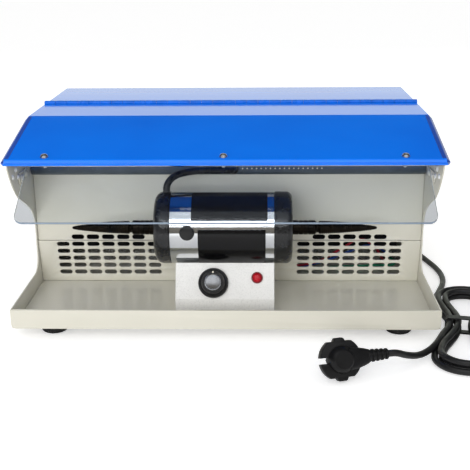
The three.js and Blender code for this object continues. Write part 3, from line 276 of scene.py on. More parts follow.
def clear_sheet(name):
    """Clear acrylic. Shadow rays pass, so that what is behind it stays lit."""
    made = shader(name, "f4f8fc", 0.02, IOR=1.49, Transmission_Weight=1.0)
    rays = node(made, "ShaderNodeLightPath").outputs
    passing = node(made, "ShaderNodeBsdfTransparent", Color=(0.93, 0.95, 0.97, 1))
    mix = node(made, "ShaderNodeMixShader", Fac=rays["Is Shadow Ray"])
    link(made, main_of(made).outputs[0], mix.inputs[1])
    link(made, passing.outputs[0], mix.inputs[2])
    link(made, mix.outputs[0], surface_of(made))


def make_materials():
    paint("beige_paint", "d8d5c8", "d4d1c3", 0.42)
    # Deeper blue as painted shade on the lid's chamfered ends
    gloss_paint("blue_painted_shade", "0349b4", "0343a8", 0.3)
    gloss_paint("tray_paint", "dad7ca", "d5d2c4", 0.2)
    speckled("hammered_paint", "e6e5e2", "cbcac7", 0.4)
    gloss_paint("blue_paint", "0079f8", "0072f0", 0.14, Specular_IOR_Level=0.7)
    paint("hinge_paint", "0672e8", "0564d0", 0.24, 0.01, 1.2, 14)
    metal("zinc_steel", "d3d5d6", "b9babb", 0.26)
    metal("polished_steel", "e6e8ea", "d6d9dd", 0.06, 0.0015)
    metal("chrome_cap", "b4b6ba", "95979b", 0.2)
    metal("motor_steel", "9a958b", "7d786f", 0.4)
    metal("black_oxide", "1a1918", "2a241d", 0.36, 0.012)
    plastic("black_enamel", "101113", "151618", 0.28, 1.5, 0.006, Coat_Weight=0.3)
    gloss_paint("black_label", "08090a", "0b0c0e", 0.2)
    plastic("black_plastic", "141415", "1c1c1d", 0.36)
    plastic("black_plug", "0e0e0f", "151516", 0.36, Specular_IOR_Level=0.3)
    plastic("rivet_steel", "f4f5f6", "e8eaec", 0.2, Metallic=0.25)
    gloss_paint("saddle_plastic", "070708", "0a0a0b", 0.16, Specular_IOR_Level=0.3)
    plastic("black_tie", "121213", "1b1b1c", 0.4)
    plastic("black_sleeve", "101113", "191a1c", 0.3)
    plastic("black_cord", "141415", "1d1d1e", 0.38)
    plastic("black_rubber", "141414", "1e1e1e", 0.62, 0.9, 0.03)
    plastic("slate_plastic", "47525a", "3a444c", 0.35)
    plastic("led_board", "e6e2d2", "d9d4c2", 0.4)
    plastic("fan_plastic", "161719", "202123", 0.45)
    plastic("circuit_board", "2c6a3a", "235c31", 0.35)
    plastic("filter_foam", "17181a", "2a2b2e", 0.9, 2.2, 1.1)
    plastic("red_wire", "b3263a", "a01f30", 0.35)
    plastic("blue_wire", "2b4fa3", "22418b", 0.35)
    plastic("green_wire", "2f936b", "257a58", 0.35)
    plastic("red_lens", "c20620", "a8051b", 0.22, 1, 0.004, Coat_Weight=0.3)
    plastic("lamp_collar", "7a0a18", "6a0815", 0.35)
    # Light blue-grey as a painted highlight along the shield's foot
    plastic("acrylic_painted_highlight", "93a3b4", "8797a9", 0.2)
    clear_sheet("clear_acrylic")


make_materials()


# Objects. Angles are in degrees, and points closer than WELD metres are one.
SHARP = 32
FLAT = 0.4
WELD = 2e-6
PLATE_SHARP = 50


def object_of(name, mesh):
    made = bpy.data.objects.new(name, mesh)
    bpy.context.scene.collection.objects.link(made)
    return made


def smooth(mesh, angle=SHARP):
    mesh.shade_smooth()
    mesh.set_sharp_from_angle(angle=math.radians(angle))


def extra(made, node_name, slot, material=None):
    """Gives a piece a node's body and a material, which is the slot's own if none is named."""
    made.data.materials.clear()
    made.data.materials.append(materials[material or slot])
    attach(made, BODY_OF[node_name])
    return made


def dress(made, *nodes, material=None):
    """Lets a piece stand for nodes, which are hidden, with their body and their slot's material unless
    another is named.
    """
    extra(made, nodes[0], SLOT_OF[nodes[0]], material)
    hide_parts(*nodes)
    return made


def mesh_from(name, form):
    """A mesh with the faces of a bmesh, which is used up."""
    mesh = bpy.data.meshes.new(name)
    form.to_mesh(mesh)
    form.free()
    return mesh


def meshed(name, form, place=Matrix.Identity(4), angle=SHARP):
    """A piece from a bmesh in millimetres, set at a place in the machine."""
    bmesh.ops.recalc_face_normals(form, faces=form.faces)
    form.transform(TO_FRAME @ place)
    mesh = mesh_from(name, form)
    smooth(mesh, angle)
    return object_of(name, mesh)


def mesh_of(made):
    """The object's mesh as its modifiers or its curve make it."""
    bpy.context.view_layer.update()
    return bpy.data.meshes.new_from_object(made.evaluated_get(bpy.context.evaluated_depsgraph_get()))


def finished(made):
    """The piece with its modifiers applied."""
    mesh = mesh_of(made)
    made.modifiers.clear()
    made.data = mesh
    return made


def bevelled(made, width, segments=2, angle=SHARP):
    bevel = made.modifiers.new("bevel", "BEVEL")
    bevel.width = width * MM
    bevel.segments = segments
    bevel.limit_method = "ANGLE"
    bevel.angle_limit = math.radians(angle)
    bevel.harden_normals = True
    return finished(made)


def copied(node_name, width=0.3, segments=2):
    """A copy of a CAD node with its flat faces joined and its edges rounded."""
    form = bmesh.new()
    form.from_mesh(frame["nodes"][node_name].data)
    bmesh.ops.remove_doubles(form, verts=form.verts, dist=WELD)
    bmesh.ops.dissolve_limit(form, angle_limit=math.radians(FLAT), verts=form.verts, edges=form.edges)
    mesh = mesh_from(node_name, form)
    smooth(mesh)
    return dress(bevelled(object_of(f"{node_name}_finish", mesh), width, segments), node_name)


# Forms, in millimetres
def arc(x, y, radius, start, end, steps):
    """Points on an arc, with angles in degrees."""
    angles = [math.radians(start + (end - start) * k / steps) for k in range(steps + 1)]
    return [(x + radius * math.cos(a), y + radius * math.sin(a)) for a in angles]


def circle(x, y, radius, sides):
    return arc(x, y, radius, 0, 360, sides)[:-1]


def turned(profile, sides=64):
    """A profile of radius and height turned about Z. The profile's ends may lie on the axis."""
    form = bmesh.new()
    rings = []
    for radius, height in profile:
        ring = circle(0, 0, radius, sides) if radius else [(0, 0)]
        rings.append([form.verts.new((x, y, height)) for x, y in ring])
    for low, high in zip(rings, rings[1:]):
        for k in range(sides):
            after = (k + 1) % sides
            corners = [low[k % len(low)], low[after % len(low)], high[after % len(high)], high[k % len(high)]]
            corners = list(dict.fromkeys(corners))
            if len(corners) > 2:
                form.faces.new(corners)
    return form


def lofted(rings):
    """A solid through rings of points, closed at both ends."""
    form = bmesh.new()
    rings = [[form.verts.new(point) for point in ring] for ring in rings]
    for low, high in zip(rings, rings[1:]):
        for k in range(len(low)):
            after = (k + 1) % len(low)
            form.faces.new([low[k], low[after], high[after], high[k]])
    form.faces.new(rings[0])
    form.faces.new(list(reversed(rings[-1])))
    return form


ALONG_X = spin(90, "Y")
ALONG_Y = spin(-90, "X")


def block(x0, x1, y0, y1, z0, z1):
    form = bmesh.new()
    size = Matrix.Diagonal((x1 - x0, y1 - y0, z1 - z0, 1))
    middle = shift((x0 + x1) / 2, (y0 + y1) / 2, (z0 + z1) / 2)
    bmesh.ops.create_cube(form, size=1, matrix=middle @ size)
    return form


def joined(*forms):
    """Several forms as one."""
    whole = bmesh.new()
    for form in forms:
        mesh = mesh_from("part", form)
        whole.from_mesh(mesh)
        bpy.data.meshes.remove(mesh)
    return whole


def moved(form, x=0, y=0, z=0, turn=None):
    if turn is not None:
        form.transform(turn)
    form.transform(shift(x, y, z))
    return form


def rounded_box(x0, x1, y0, y1, radius, steps):
    left, right, low, high = x0 + radius, x1 - radius, y0 + radius, y1 - radius
    corners = ((right, low), (right, high), (left, high), (left, low))
    return [p for k, (x, y) in enumerate(corners) for p in arc(x, y, radius, 90 * k - 90, 90 * k, steps)]


def curved(start, corner, end, steps):
    """Points on a curve that leaves its start towards a corner and ends in line with it."""
    shares = [k / steps for k in range(steps + 1)]
    return [start * (1 - t) ** 2 + corner * 2 * t * (1 - t) + end * t ** 2 for t in shares]


def corners_of(line):
    """Each inner corner of an open line, with the directions back and on from it and half its angle."""
    points = [Vector(p) for p in line]
    for before, corner, after in zip(points, points[1:], points[2:]):
        into = (before - corner).normalized()
        out = (after - corner).normalized()
        yield before, corner, after, into, out, into.angle(out) / 2


def softened(line, radius, steps):
    """An open line of points with its inner corners rounded."""
    made = [Vector(line[0])]
    for before, corner, after, into, out, half in corners_of(line):
        reach = min(radius / math.tan(half), (before - corner).length * 0.49, (after - corner).length * 0.49)
        made += curved(corner + into * reach, corner, corner + out * reach, steps)
    return [*made, Vector(line[-1])]


def filleted(line, radius, steps):
    """An open line of points with its inner corners turned into arcs."""
    made = [Vector(line[0])]
    for _, corner, _, into, out, half in corners_of(line):
        centre = corner + (into + out).normalized() * radius / math.sin(half)
        start = corner + into * radius / math.tan(half) - centre
        sweep = start.angle_signed(corner + out * radius / math.tan(half) - centre)
        made += [centre + Matrix.Rotation(-sweep * k / steps, 2) @ start for k in range(steps + 1)]
    return [*made, Vector(line[-1])]


def parallel(line, distance):
    """A line of points moved sideways by a distance, to its left as it runs."""
    made = []
    for i, point in enumerate(line):
        before = Vector(line[max(i, 1)]) - Vector(line[max(i, 1) - 1])
        last = min(i + 1, len(line) - 1)
        after = Vector(line[last]) - Vector(line[last - 1])
        before = Vector((-before.y, before.x)).normalized()
        after = Vector((-after.y, after.x)).normalized()
        made.append(Vector(point) + (before + after) * distance / (1 + before.dot(after)))
    return made


def plate(name, outline, holes, thickness, edge, place, rounds=1):
    """A flat plate from an outline and holes in its X and Y, with rounded edges. Z runs through it."""
    data = bpy.data.curves.new(name, "CURVE")
    data.dimensions = "2D"
    data.fill_mode = "BOTH"
    data.extrude = (thickness / 2 - edge) * MM
    data.bevel_depth = edge * MM
    data.bevel_resolution = rounds
    data.offset = -edge * MM
    for ring in [outline, *holes]:
        spline = data.splines.new("POLY")
        spline.points.add(len(ring) - 1)
        for point, (x, y) in zip(spline.points, ring):
            point.co = (x * MM, y * MM, 0, 1)
        spline.use_cyclic_u = True
    flat = object_of(name, data)
    mesh = mesh_of(flat)
    bpy.data.objects.remove(flat)
    mesh.transform(TO_FRAME @ place @ Matrix.Scale(1 / MM, 4))
    clean = bmesh.new()
    clean.from_mesh(mesh)
    bmesh.ops.remove_doubles(clean, verts=clean.verts, dist=WELD)
    bmesh.ops.recalc_face_normals(clean, faces=clean.faces)
    clean.to_mesh(mesh)
    clean.free()
    mesh.name = name
    smooth(mesh, PLATE_SHARP)
    return object_of(name, mesh)


# A plate's X and Y laid along the machine's Y and Z, or its X and Z
SIDEWAYS = Matrix(((0, 0, 1, 0), (1, 0, 0, 0), (0, 1, 0, 0), (0, 0, 0, 1)))
UPRIGHT = Matrix(((1, 0, 0, 0), (0, 0, -1, 0), (0, 1, 0, 0), (0, 0, 0, 1)))


def curve_of(name, points, radius, sides=8):
    """A round tube on a smooth curve through points in millimetres."""
    data = bpy.data.curves.new(name, "CURVE")
    data.dimensions = "3D"
    data.bevel_depth = radius * MM
    data.bevel_resolution = sides
    data.use_fill_caps = True
    data.resolution_u = 8
    spline = data.splines.new("BEZIER")
    spline.bezier_points.add(len(points) - 1)
    for knot, point in zip(spline.bezier_points, points):
        knot.co = at(*point)
        knot.handle_left_type = "AUTO"
        knot.handle_right_type = "AUTO"
    return object_of(name, data)


# Mains cord
CORD_RADIUS = 3.25
GLAND_X = 185
GLAND_Z = 32
HANK_X = 245
HANK_Y = 20
HANK_TILT = 12
HANK_RUN = 70
FOLD_RADIUS = 19.5
LOOP_GAP = 0.7
WAIST_HALF = 4.2
WAIST_STEP = 8
WAIST_LIFT = 1.5
WAIST_REACH = 22
LOOP_STEPS = 24
HANK_STEPS = 75
CLIMB_START = 36
CLIMB_STEPS = 4
CORD_REST = 0.15
MAINS_ROUTE = [
    (185, 375.5, 32), (185, 385.5, 31.2), (187.5, 398, 27.5), (196, 408.5, 21.5), (209, 413, 14.8),
    (222.5, 410, 9.2), (233, 400.5, 5.2), (238.5, 387, 3.6), (239.5, 370, 3.4), (237.5, 343, 3.4),
    (234.5, 313, 3.4), (234, 284, 3.4), (237, 256, 3.4), (243, 230, 3.4), (248.5, 204, 3.4),
    (250, 178, 3.4), (246, 152, 3.4), (237.5, 128, 3.4), (231, 110, 3.4), (229.5, 101, 3.4),
]
TAIL_ROUTE = [
    (211.4, -16.2, 10.4), (204.6, -28.5, 9.2), (195, -41.5, 8.3), (183.6, -53, 9.4),
    (171.6, -62.6, 14), (160.2, -69.2, 19.2), (152.3, -71.95, 19.93),
]


def hank_point(step):
    """A point on the hank: loops that spiral in on the lower layer and out again on the upper one."""
    tilt = math.radians(HANK_TILT)
    along_hank = Vector((math.sin(tilt), math.cos(tilt), 0))
    aside_hank = Vector((-along_hank.y, along_hank.x, 0))
    pitch = 2 * CORD_RADIUS + LOOP_GAP
    turns = abs(step - HANK_STEPS / 2) / LOOP_STEPS
    radius = FOLD_RADIUS + turns * pitch
    waist = WAIST_HALF + turns * WAIST_STEP
    in_loop = step % LOOP_STEPS
    side = 1 if in_loop < LOOP_STEPS / 2 else -1
    in_half = in_loop % (LOOP_STEPS / 2)
    run_steps = LOOP_STEPS / 6
    if in_half <= run_steps:
        along = HANK_RUN * (1 - 2 * in_half / run_steps)
        aside = waist + (radius - waist) * (1 - math.cos(math.pi * along / HANK_RUN)) / 2
    else:
        angle = math.pi * (in_half - run_steps) / (LOOP_STEPS / 3)
        along = -HANK_RUN - radius * math.sin(angle)
        aside = radius * math.cos(angle)
    share = min(max((step - CLIMB_START) / CLIMB_STEPS, 0), 1)
    climb = share * share * (3 - 2 * share)
    lift = WAIST_LIFT * math.exp(-((along / WAIST_REACH) ** 2))
    middle = Vector((HANK_X, HANK_Y, CORD_RADIUS + CORD_REST + lift + climb * pitch))
    return middle + along_hank * side * along + aside_hank * side * aside


def cord_route():
    """The whole cord's centreline, from the gland round to the plug."""
    finer = 2
    return [*MAINS_ROUTE, *(hank_point(k / finer) for k in range(finer * HANK_STEPS + 1)), *TAIL_ROUTE]


def make_cord(plug):
    made = curve_of("mains_cord_run", cord_route(), CORD_RADIUS)
    dress(made, "mains_cord", "cord_hank", "cord_tail")
    tie = copied("hank_tie", 0.5, 3)


# Plug: sizes along its disc's axis Z, with the cord leaving along X
PLUG_X = 107.7
PLUG_Y = -84.7
PLUG_RISE = 19.93
PLUG_YAW = 16
PLUG_LEAN = 21.8
PLUG_RADIUS = 19.8
PLUG_FLAT = 16.4
PLUG_SHEET = 9
PLUG_WING = 19.5
PLUG_PIN_PITCH = 19
PLUG_WING_HALF = 5.5
PLUG_NOTCH_HALF = 2.8
PLUG_NOTCH = 8
PLUG_RELIEF_START = 24
PLUG_RELIEF_END = 46
PLUG_RIBS = 5
PLUG_PIN = 2.4


def plug_place():
    return shift(PLUG_X, PLUG_Y, PLUG_RISE) @ spin(PLUG_YAW, "Z") @ spin(90 - PLUG_LEAN, "X")


def plug_outline():
    """A disc with flats above and below, a grip wing on each flat and a notch opposite the cord."""
    corner = math.degrees(math.asin(PLUG_FLAT / PLUG_RADIUS))
    notch_x = -PLUG_RADIUS + PLUG_NOTCH
    start = math.degrees(math.asin(PLUG_NOTCH_HALF / PLUG_RADIUS))
    right_side = arc(0, 0, PLUG_RADIUS, -corner, corner, 16)
    top = arc(0, PLUG_FLAT - 1, PLUG_WING_HALF, 0, 180, 10)
    top = [(x, min(max(y, PLUG_FLAT), PLUG_WING)) for x, y in top]
    upper_left = arc(0, 0, PLUG_RADIUS, 180 - corner, 180 - start, 10)
    notch = [(notch_x, PLUG_NOTCH_HALF), (notch_x - 1, 0), (notch_x, -PLUG_NOTCH_HALF)]
    lower_left = arc(0, 0, PLUG_RADIUS, 180 + start, 180 + corner, 10)
    bottom = [(-x, -y) for x, y in top]
    return right_side + top + upper_left + notch + lower_left + bottom


def plug_relief():
    """The ribbed relief, turned about Z and laid along X afterwards."""
    pitch = (PLUG_RELIEF_END - PLUG_RELIEF_START) / PLUG_RIBS
    profile = [(0, 8), (6.4, 8), (6.6, PLUG_RELIEF_START)]
    for k in range(PLUG_RIBS):
        outer = 6.6 - 1.4 * (k + 1) / PLUG_RIBS
        base = PLUG_RELIEF_START + k * pitch
        profile += [
            (outer - 1.1, base + 0.3), (outer - 1.1, base + pitch * 0.42), (outer - 0.2, base + pitch * 0.5),
            (outer, base + pitch * 0.62), (outer, base + pitch * 0.88), (outer - 0.3, base + pitch),
        ]
    return turned([*profile, (0, PLUG_RELIEF_END)], 32)


def plug_neck(half):
    """The neck between disc and relief, through stations of place, half width and height."""
    stations = [(6, 10.5, half + 6.8), (14, 9.6, half + 5.6), (21, 8.2, half + 3.2), (26, 6.7, half + 1.8)]
    return lofted([
        [(x, y, z) for y, z in rounded_box(-wide, wide, -half, high, 3.2, 4)] for x, wide, high in stations
    ])


def plug_pin(half, way):
    pin = turned([
        (0, -half - 19), (PLUG_PIN - 0.8, -half - 18.8), (PLUG_PIN - 0.1, -half - 18), (PLUG_PIN, -half - 10),
        (PLUG_PIN, -half + 0.5), (0, -half + 0.5),
    ], 24)
    return moved(pin, y=way * PLUG_PIN_PITCH / 2)


def make_plug():
    place = plug_place()
    half = PLUG_SHEET / 2
    disc = plate("plug_disc", plug_outline(), [], PLUG_SHEET, 1.2, place)
    boss = turned([
        (0, 0), (13, 0), (12.6, half + 0.4), (12.1, half + 3.2), (11, half + 5.4), (9.2, half + 7.2),
        (8.2, half + 7.9), (0, half + 8),
    ], 48)
    relief = moved(plug_relief(), turn=ALONG_X)
    body = meshed("plug_body", joined(boss, plug_neck(half), relief), place)
    pins = meshed("plug_pins", joined(plug_pin(half, -1), plug_pin(half, 1)), place)
    dress(disc, "mains_plug")
    extra(body, "mains_plug", SLOT_OF["mains_plug"])
    extra(pins, "mains_plug", "zinc_steel")
    return [disc, body, pins]


# Leads inside the machine
LEAD_RADIUS = 3.7
WIRE_RADIUS = 1.4
LEAD_ROUTE = [
    (-62, 78, 132.2), (-62, 78.4, 137), (-59.5, 81, 143), (-53, 87, 147.6), (-42, 93, 149.6),
    (-28, 97.5, 150.2), (-14, 100.5, 149.8), (-3, 103.4, 149.1), (3.6, 106.6, 148.6), (6, 111, 148.5),
    (6, 116.4, 148.5),
]
WIRE_ROUTES = {
    "wire_red": [
        (181, 336.4, 36), (184, 300, 24), (186, 240, 19), (186, 205, 18), (180, 180, 24), (168, 162, 44),
        (150, 154, 57), (128, 152, 46), (100, 153, 30), (60, 150, 26), (32, 144, 31), (22, 137, 33),
        (22, 120, 33), (22, 110, 29), (22, 104, 24.2),
    ],
    "wire_blue": [
        (189, 336.4, 36), (190, 300, 27), (190, 240, 22.5), (190, 205, 21.5), (188, 190, 24), (182, 180, 33),
        (164, 171, 44), (138, 166, 38), (104, 161, 26), (62, 157, 21.5), (36, 150, 26), (25.8, 140, 28.6),
        (25.8, 122, 28.6), (26, 112, 26.8), (26, 104, 24.2),
    ],
    "wire_green": [
        (185, 336.4, 27.5), (188, 300, 20), (189.5, 240, 17.4), (192.5, 205, 17), (196, 190, 17),
        (191, 180, 16.8), (174, 178, 17), (140, 173, 17.4), (104, 169, 17.2), (62, 165, 16.4), (34, 156, 19),
        (20.5, 146, 25), (19, 138, 29), (19, 122, 28.8), (18, 112, 26.6), (18, 104, 24.2),
    ],
}


def make_leads():
    dress(curve_of("motor_lead_run", LEAD_ROUTE, LEAD_RADIUS), "motor_lead")
    for name, route in WIRE_ROUTES.items():
        dress(curve_of(f"{name}_run", route, WIRE_RADIUS, 4), name)


make_camera()
make_cord(make_plug())
make_leads()


# Tray, side panels and inner panels
SIDES = (("left", -1), ("right", 1))
TRAY_WALL = 20.5
CHEEK_BULGE = 6
PANEL_DROP = 3.6
SLOT_LENGTH = 14
SLOT_WIDTH = 5.5
SLOT_PITCH_X = 17
SLOT_PITCH_Z = 9
SLOT_FIRST = 83.5
SEAM_Z = 65
PANEL_Y = 125
PANEL_TOP = 197.5
GRILLE_FOOT_Y = 133.8
GRILLE_TOP_Y = 124
GRILLE_ROWS = 5
GRILLE_MARGIN = 4.2
UPPER_ROW_RISE = 4
WIRE_HOLE = (22, 18)
WIRE_HOLE_RADIUS = 7


def make_tray():
    dress(copied("base_tray", 0.45, 3), "base_tray", material="tray_paint")
    for side, _ in SIDES:
        for end in ("front", "rear"):
            copied(f"foot_{end}_{side}", 0.5)


def side_outline():
    """The side panel's outline in Y and Z."""
    wall_top = FOOT_HEIGHT + TRAY_WALL
    front = SHEET + GAP
    rear = REAR_Y - SHEET - GAP
    tip = Vector((29, 169))
    knee = Vector((63, 130))
    throat = Vector((121.5, 80))
    fillet = 17.5
    handle_a = (knee + throat) / 2 + Vector((0, fillet / 2))
    handle_b = Vector((throat.x, (knee.y + throat.y) / 2))
    swell = Vector((tip.y - knee.y, knee.x - tip.x)).normalized() * -CHEEK_BULGE
    sweep = [
        knee * (1 - t) ** 3 + handle_a * 3 * t * (1 - t) ** 2
        + handle_b * 3 * t * t * (1 - t) + throat * t ** 3
        for t in (k / 20 for k in range(21))
    ]
    return [
        (front, FOOT_HEIGHT), (rear, FOOT_HEIGHT), (rear, HOOD_TOP - PANEL_DROP),
        (FOLD_Y + PANEL_DROP * math.tan(SLANT / 2), HOOD_TOP - PANEL_DROP),
        (tip.x, slope_z(tip.x) - PANEL_DROP / math.cos(SLANT)),
        *curved(tip, (tip + knee) / 2 + swell, knee, 8)[:-1], *sweep,
        *arc(throat.x - fillet, wall_top + fillet, fillet, 0, -90, 10), (front, wall_top),
    ]


def make_side_panels():
    for side, way in SIDES:
        place = shift(way * (HALF_BODY - SHEET / 2), 0, 0) @ SIDEWAYS
        dress(plate(f"side_sheet_{side}", side_outline(), [], SHEET, 0.35, place), f"side_panel_{side}")


def slot_outline(x, y):
    end = (SLOT_LENGTH - SLOT_WIDTH) / 2
    return arc(x + end, y, SLOT_WIDTH / 2, -90, 90, 10) + arc(x - end, y, SLOT_WIDTH / 2, 90, 270, 10)


def slot_row(first, last, y):
    columns = [way * (SLOT_FIRST + k * SLOT_PITCH_X) for k in range(first, last + 1) for way in (-1, 1)]
    return [slot_outline(x, y) for x in columns]


def inner_panel(name, low, high, holes, place):
    """A sheet across the machine from low to high, with its front face on the place's plane."""
    half = HALF_BODY - SHEET - GAP
    outline = [(-half, low), (half, low), (half, high), (-half, high)]
    return plate(name, outline, holes, SHEET, 0.4, place @ shift(0, SHEET / 2, 0) @ UPRIGHT)


def make_inner_panels():
    low = SEAM_Z + GAP
    upper_row = slot_row(1, 5, SEAM_Z + UPPER_ROW_RISE)
    upper = inner_panel("upper_panel_sheet", low, PANEL_TOP, upper_row, shift(0, PANEL_Y, 0))
    dress(upper, "upper_back_panel")
    floor = FOOT_HEIGHT + SHEET
    back = GRILLE_FOOT_Y - GRILLE_TOP_Y
    length = math.hypot(back, SEAM_Z - floor) - 2 * GAP
    holes = [arc(*WIRE_HOLE, WIRE_HOLE_RADIUS, 0, 345, 23)]
    for row in range(GRILLE_ROWS):
        holes += slot_row(0, 6, length - GRILLE_MARGIN - row * SLOT_PITCH_Z)
    lean = Matrix.Rotation(math.atan2(back, SEAM_Z - floor), 4, "X")
    place = shift(0, GRILLE_FOOT_Y, floor + GAP) @ lean
    dress(inner_panel("grille_sheet", 0, length, holes, place), "grille_panel")


# Hood, hinge and shield
HOOD_HALF = 220
HOOD_CHAMFER = 4
HOOD_FLANGE = 9.5
HOOD_REAR = 343
BEND_RADIUS = 4.6
LIP_Y = 25.3
LIP_STEP = 175.9
LIP_BOTTOM = 173.6
LEAF_GAP = 3.6
KNUCKLES = 33
LEAF_INSET = 3
HINGE_LENGTH = 2 * (HOOD_HALF - LEAF_INSET)
LEAF_SHEET = 1.2
REAR_LAP = 12
HOOD_SHARP = 25
SHADE_BAND_INSET = 8
HEM_INSET = 3
HOOD_SPARE = 2
PAINTED_SHADE_NORMALS = (0.3, 0.92)
LEAF_NEAR = 3.3
LEAF_FAR = 17.3
TAB_NEAR = 0.5
TAB_FAR = 3.6
KNUCKLE_RADIUS = 3
KNUCKLE_EDGE = 0.3
KNUCKLE_BORE = 1.5
PIN_RADIUS = 1.2


def combine(made, other, operation):
    """Cuts a piece by another one, or keeps what both share. The other one is used up."""
    change = made.modifiers.new("combine", "BOOLEAN")
    change.operation = operation
    change.solver = "EXACT"
    change.object = other
    finished(made)
    bpy.data.objects.remove(other)


def hood_sheet(name, surface, lower, turn):
    """A bent sheet with chamfered sides. The surface runs from the hinge, and lower ends its flanges."""
    away = math.copysign(HOOD_SPARE + HOOD_CHAMFER, surface[0][0] - surface[1][0])
    past = (surface[0][0] + away, surface[0][1])
    deep = (surface[-1][0], surface[-1][1] - HOOD_FLANGE - HOOD_CHAMFER - HOOD_SPARE)

    def body(inset):
        line = parallel([past, *surface, deep], turn * inset)
        return [*line, (past[0], line[-1][1])]

    width = 2 * HOOD_HALF
    outer = plate(name, body(0), [], width, HOOD_CHAMFER, SIDEWAYS, 0)
    inner_edge = HOOD_CHAMFER - HOOD_SKIN
    inner = plate("inner", body(HOOD_SKIN), [], width - 2 * HOOD_SKIN, inner_edge, SIDEWAYS, 0)
    around = [*parallel(surface, -turn * HOOD_SPARE), *lower]
    kept = plate("kept", around, [], width + 4 * HOOD_SPARE, 0.01, SIDEWAYS, 0)
    combine(outer, inner, "DIFFERENCE")
    combine(outer, kept, "INTERSECT")
    smooth(outer.data, HOOD_SHARP)
    return outer


def paint_chamfer_shade(made):
    """The chamfered ends of a sheet in painted shade: a deeper blue, as the chamfers face away from the
    front.
    """
    made.data.materials.append(materials["blue_painted_shade"])
    low, high = PAINTED_SHADE_NORMALS
    for face in made.data.polygons:
        if low < abs(face.normal.x) < high:
            face.material_index = 1


def make_lid():
    bent = filleted(
        [(FOLD_Y + 20, HOOD_TOP), (FOLD_Y, HOOD_TOP), (BEND_Y, BEND_Z), (LIP_Y, LIP_STEP - 6)],
        BEND_RADIUS, 7,
    )
    end = HINGE_Y - LEAF_GAP
    surface = [(end, HOOD_TOP), *[p for p in bent[1:] if p[1] > LIP_STEP], (LIP_Y + 0.1, LIP_STEP)]
    depth = HOOD_FLANGE / math.cos(SLANT)
    flange_y = BEND_Y + HOOD_FLANGE
    lower = [
        (LIP_Y + HOOD_SKIN + HOOD_SPARE, LIP_STEP), (flange_y, slope_z(flange_y) - depth),
        (FOLD_Y, HOOD_TOP - depth), (end, HOOD_TOP - HOOD_FLANGE),
    ]
    paint_chamfer_shade(dress(hood_sheet("lid_sheet", surface, lower, 1), "front_lid"))


def make_painted_shade_bands():
    """Thin strips of painted shade along the slope's ends: a deeper blue, as the chamfers face away from the
    front.
    """
    bands = bmesh.new()
    for way in (-1, 1):
        corners = []
        for y in (BEND_Y + 3, FOLD_Y - 2):
            for x in (way * (HOOD_HALF - SHADE_BAND_INSET), way * (HOOD_HALF - HOOD_CHAMFER + 0.1)):
                for lift in (-0.2, 0.1):
                    corners.append(bands.verts.new((x, y, slope_z(y) + lift)))
        bmesh.ops.convex_hull(bands, input=corners)
    extra(meshed("lid_painted_shade_bands", bands), "front_lid", "blue_paint", "blue_painted_shade")


def make_hem():
    """The folded lip along the lid's front."""
    back = LIP_Y + 1.8
    hem = [
        (LIP_Y + 0.9, LIP_STEP + 0.3), (LIP_Y + 0.9, LIP_STEP - 0.4), (LIP_Y + 0.25, LIP_STEP - 0.7),
        (LIP_Y, LIP_STEP - 1.1), (LIP_Y, LIP_BOTTOM + 0.5), (LIP_Y + 0.4, LIP_BOTTOM),
        (LIP_Y + 1.5, LIP_BOTTOM), (back, LIP_BOTTOM + 0.4), (back, LIP_STEP + 0.3),
    ]
    made = plate("lid_hem", hem, [], 2 * (HOOD_HALF - HEM_INSET), 0.3, SIDEWAYS)
    extra(made, "front_lid", "blue_paint")


def make_rear_plate():
    start = HINGE_Y + LEAF_GAP
    low = HOOD_TOP - REAR_LAP
    surface = filleted([(start, HOOD_TOP), (HOOD_REAR, HOOD_TOP), (HOOD_REAR, low)], BEND_RADIUS, 7)
    lower = [
        (HOOD_REAR - HOOD_SKIN - HOOD_SPARE, low), (HOOD_REAR - REAR_LAP, HOOD_TOP - HOOD_FLANGE),
        (start, HOOD_TOP - HOOD_FLANGE),
    ]
    dress(bevelled(hood_sheet("rear_sheet", surface, lower, -1), 0.3, 2, 28), "rear_top_plate")


def hinge_leaf(parity, way):
    """A leaf's flat, its knuckles and the tab from each knuckle to the flat, about the hinge's axis."""
    pitch = HINGE_LENGTH / KNUCKLES
    top = HOOD_TOP - HOOD_SKIN - GAP - HINGE_Z
    half = HOOD_HALF - HOOD_CHAMFER - GAP
    forms = [block(-half, half, *sorted((way * LEAF_NEAR, way * LEAF_FAR)), top - LEAF_SHEET, top)]
    radius = KNUCKLE_RADIUS
    edge = KNUCKLE_EDGE
    for k in range(parity, KNUCKLES, 2):
        start = -HINGE_LENGTH / 2 + k * pitch + GAP / 2
        end = start + pitch - GAP
        knuckle = turned([
            (KNUCKLE_BORE, start), (radius - edge, start), (radius, start + edge), (radius, end - edge),
            (radius - edge, end), (KNUCKLE_BORE, end), (KNUCKLE_BORE, start),
        ], 24)
        near, far = sorted((way * TAB_NEAR, way * TAB_FAR))
        tab = block(max(start, -half), min(end, half), near, far, top - LEAF_SHEET, top)
        forms += [moved(knuckle, turn=ALONG_X), tab]
    return joined(*forms)


def make_hinge():
    place = shift(0, HINGE_Y, HINGE_Z)
    for parity, name, way in ((0, "hinge_leaf_rear", 1), (1, "hinge_leaf_lid", -1)):
        dress(meshed(f"{name}_finish", hinge_leaf(parity, way), place), name)
    end = HINGE_LENGTH / 2
    pin = turned([(0, -end), (PIN_RADIUS, -end), (PIN_RADIUS, end), (0, end)], 16)
    dress(meshed("hinge_pin_finish", moved(pin, turn=ALONG_X), place), "hinge_pin")


# Shield
SHIELD_LEFT = -194
SHIELD_RIGHT = 199
SHIELD_SHEET = 2.5
SHIELD_CORNER = 9
SHIELD_EDGE = 0.3
SHIELD_EDGE_TOP = 72
BOLTS = {"left": -177.3, "middle": -0.6, "right": 177.3}
BOLT_Y = 33.6


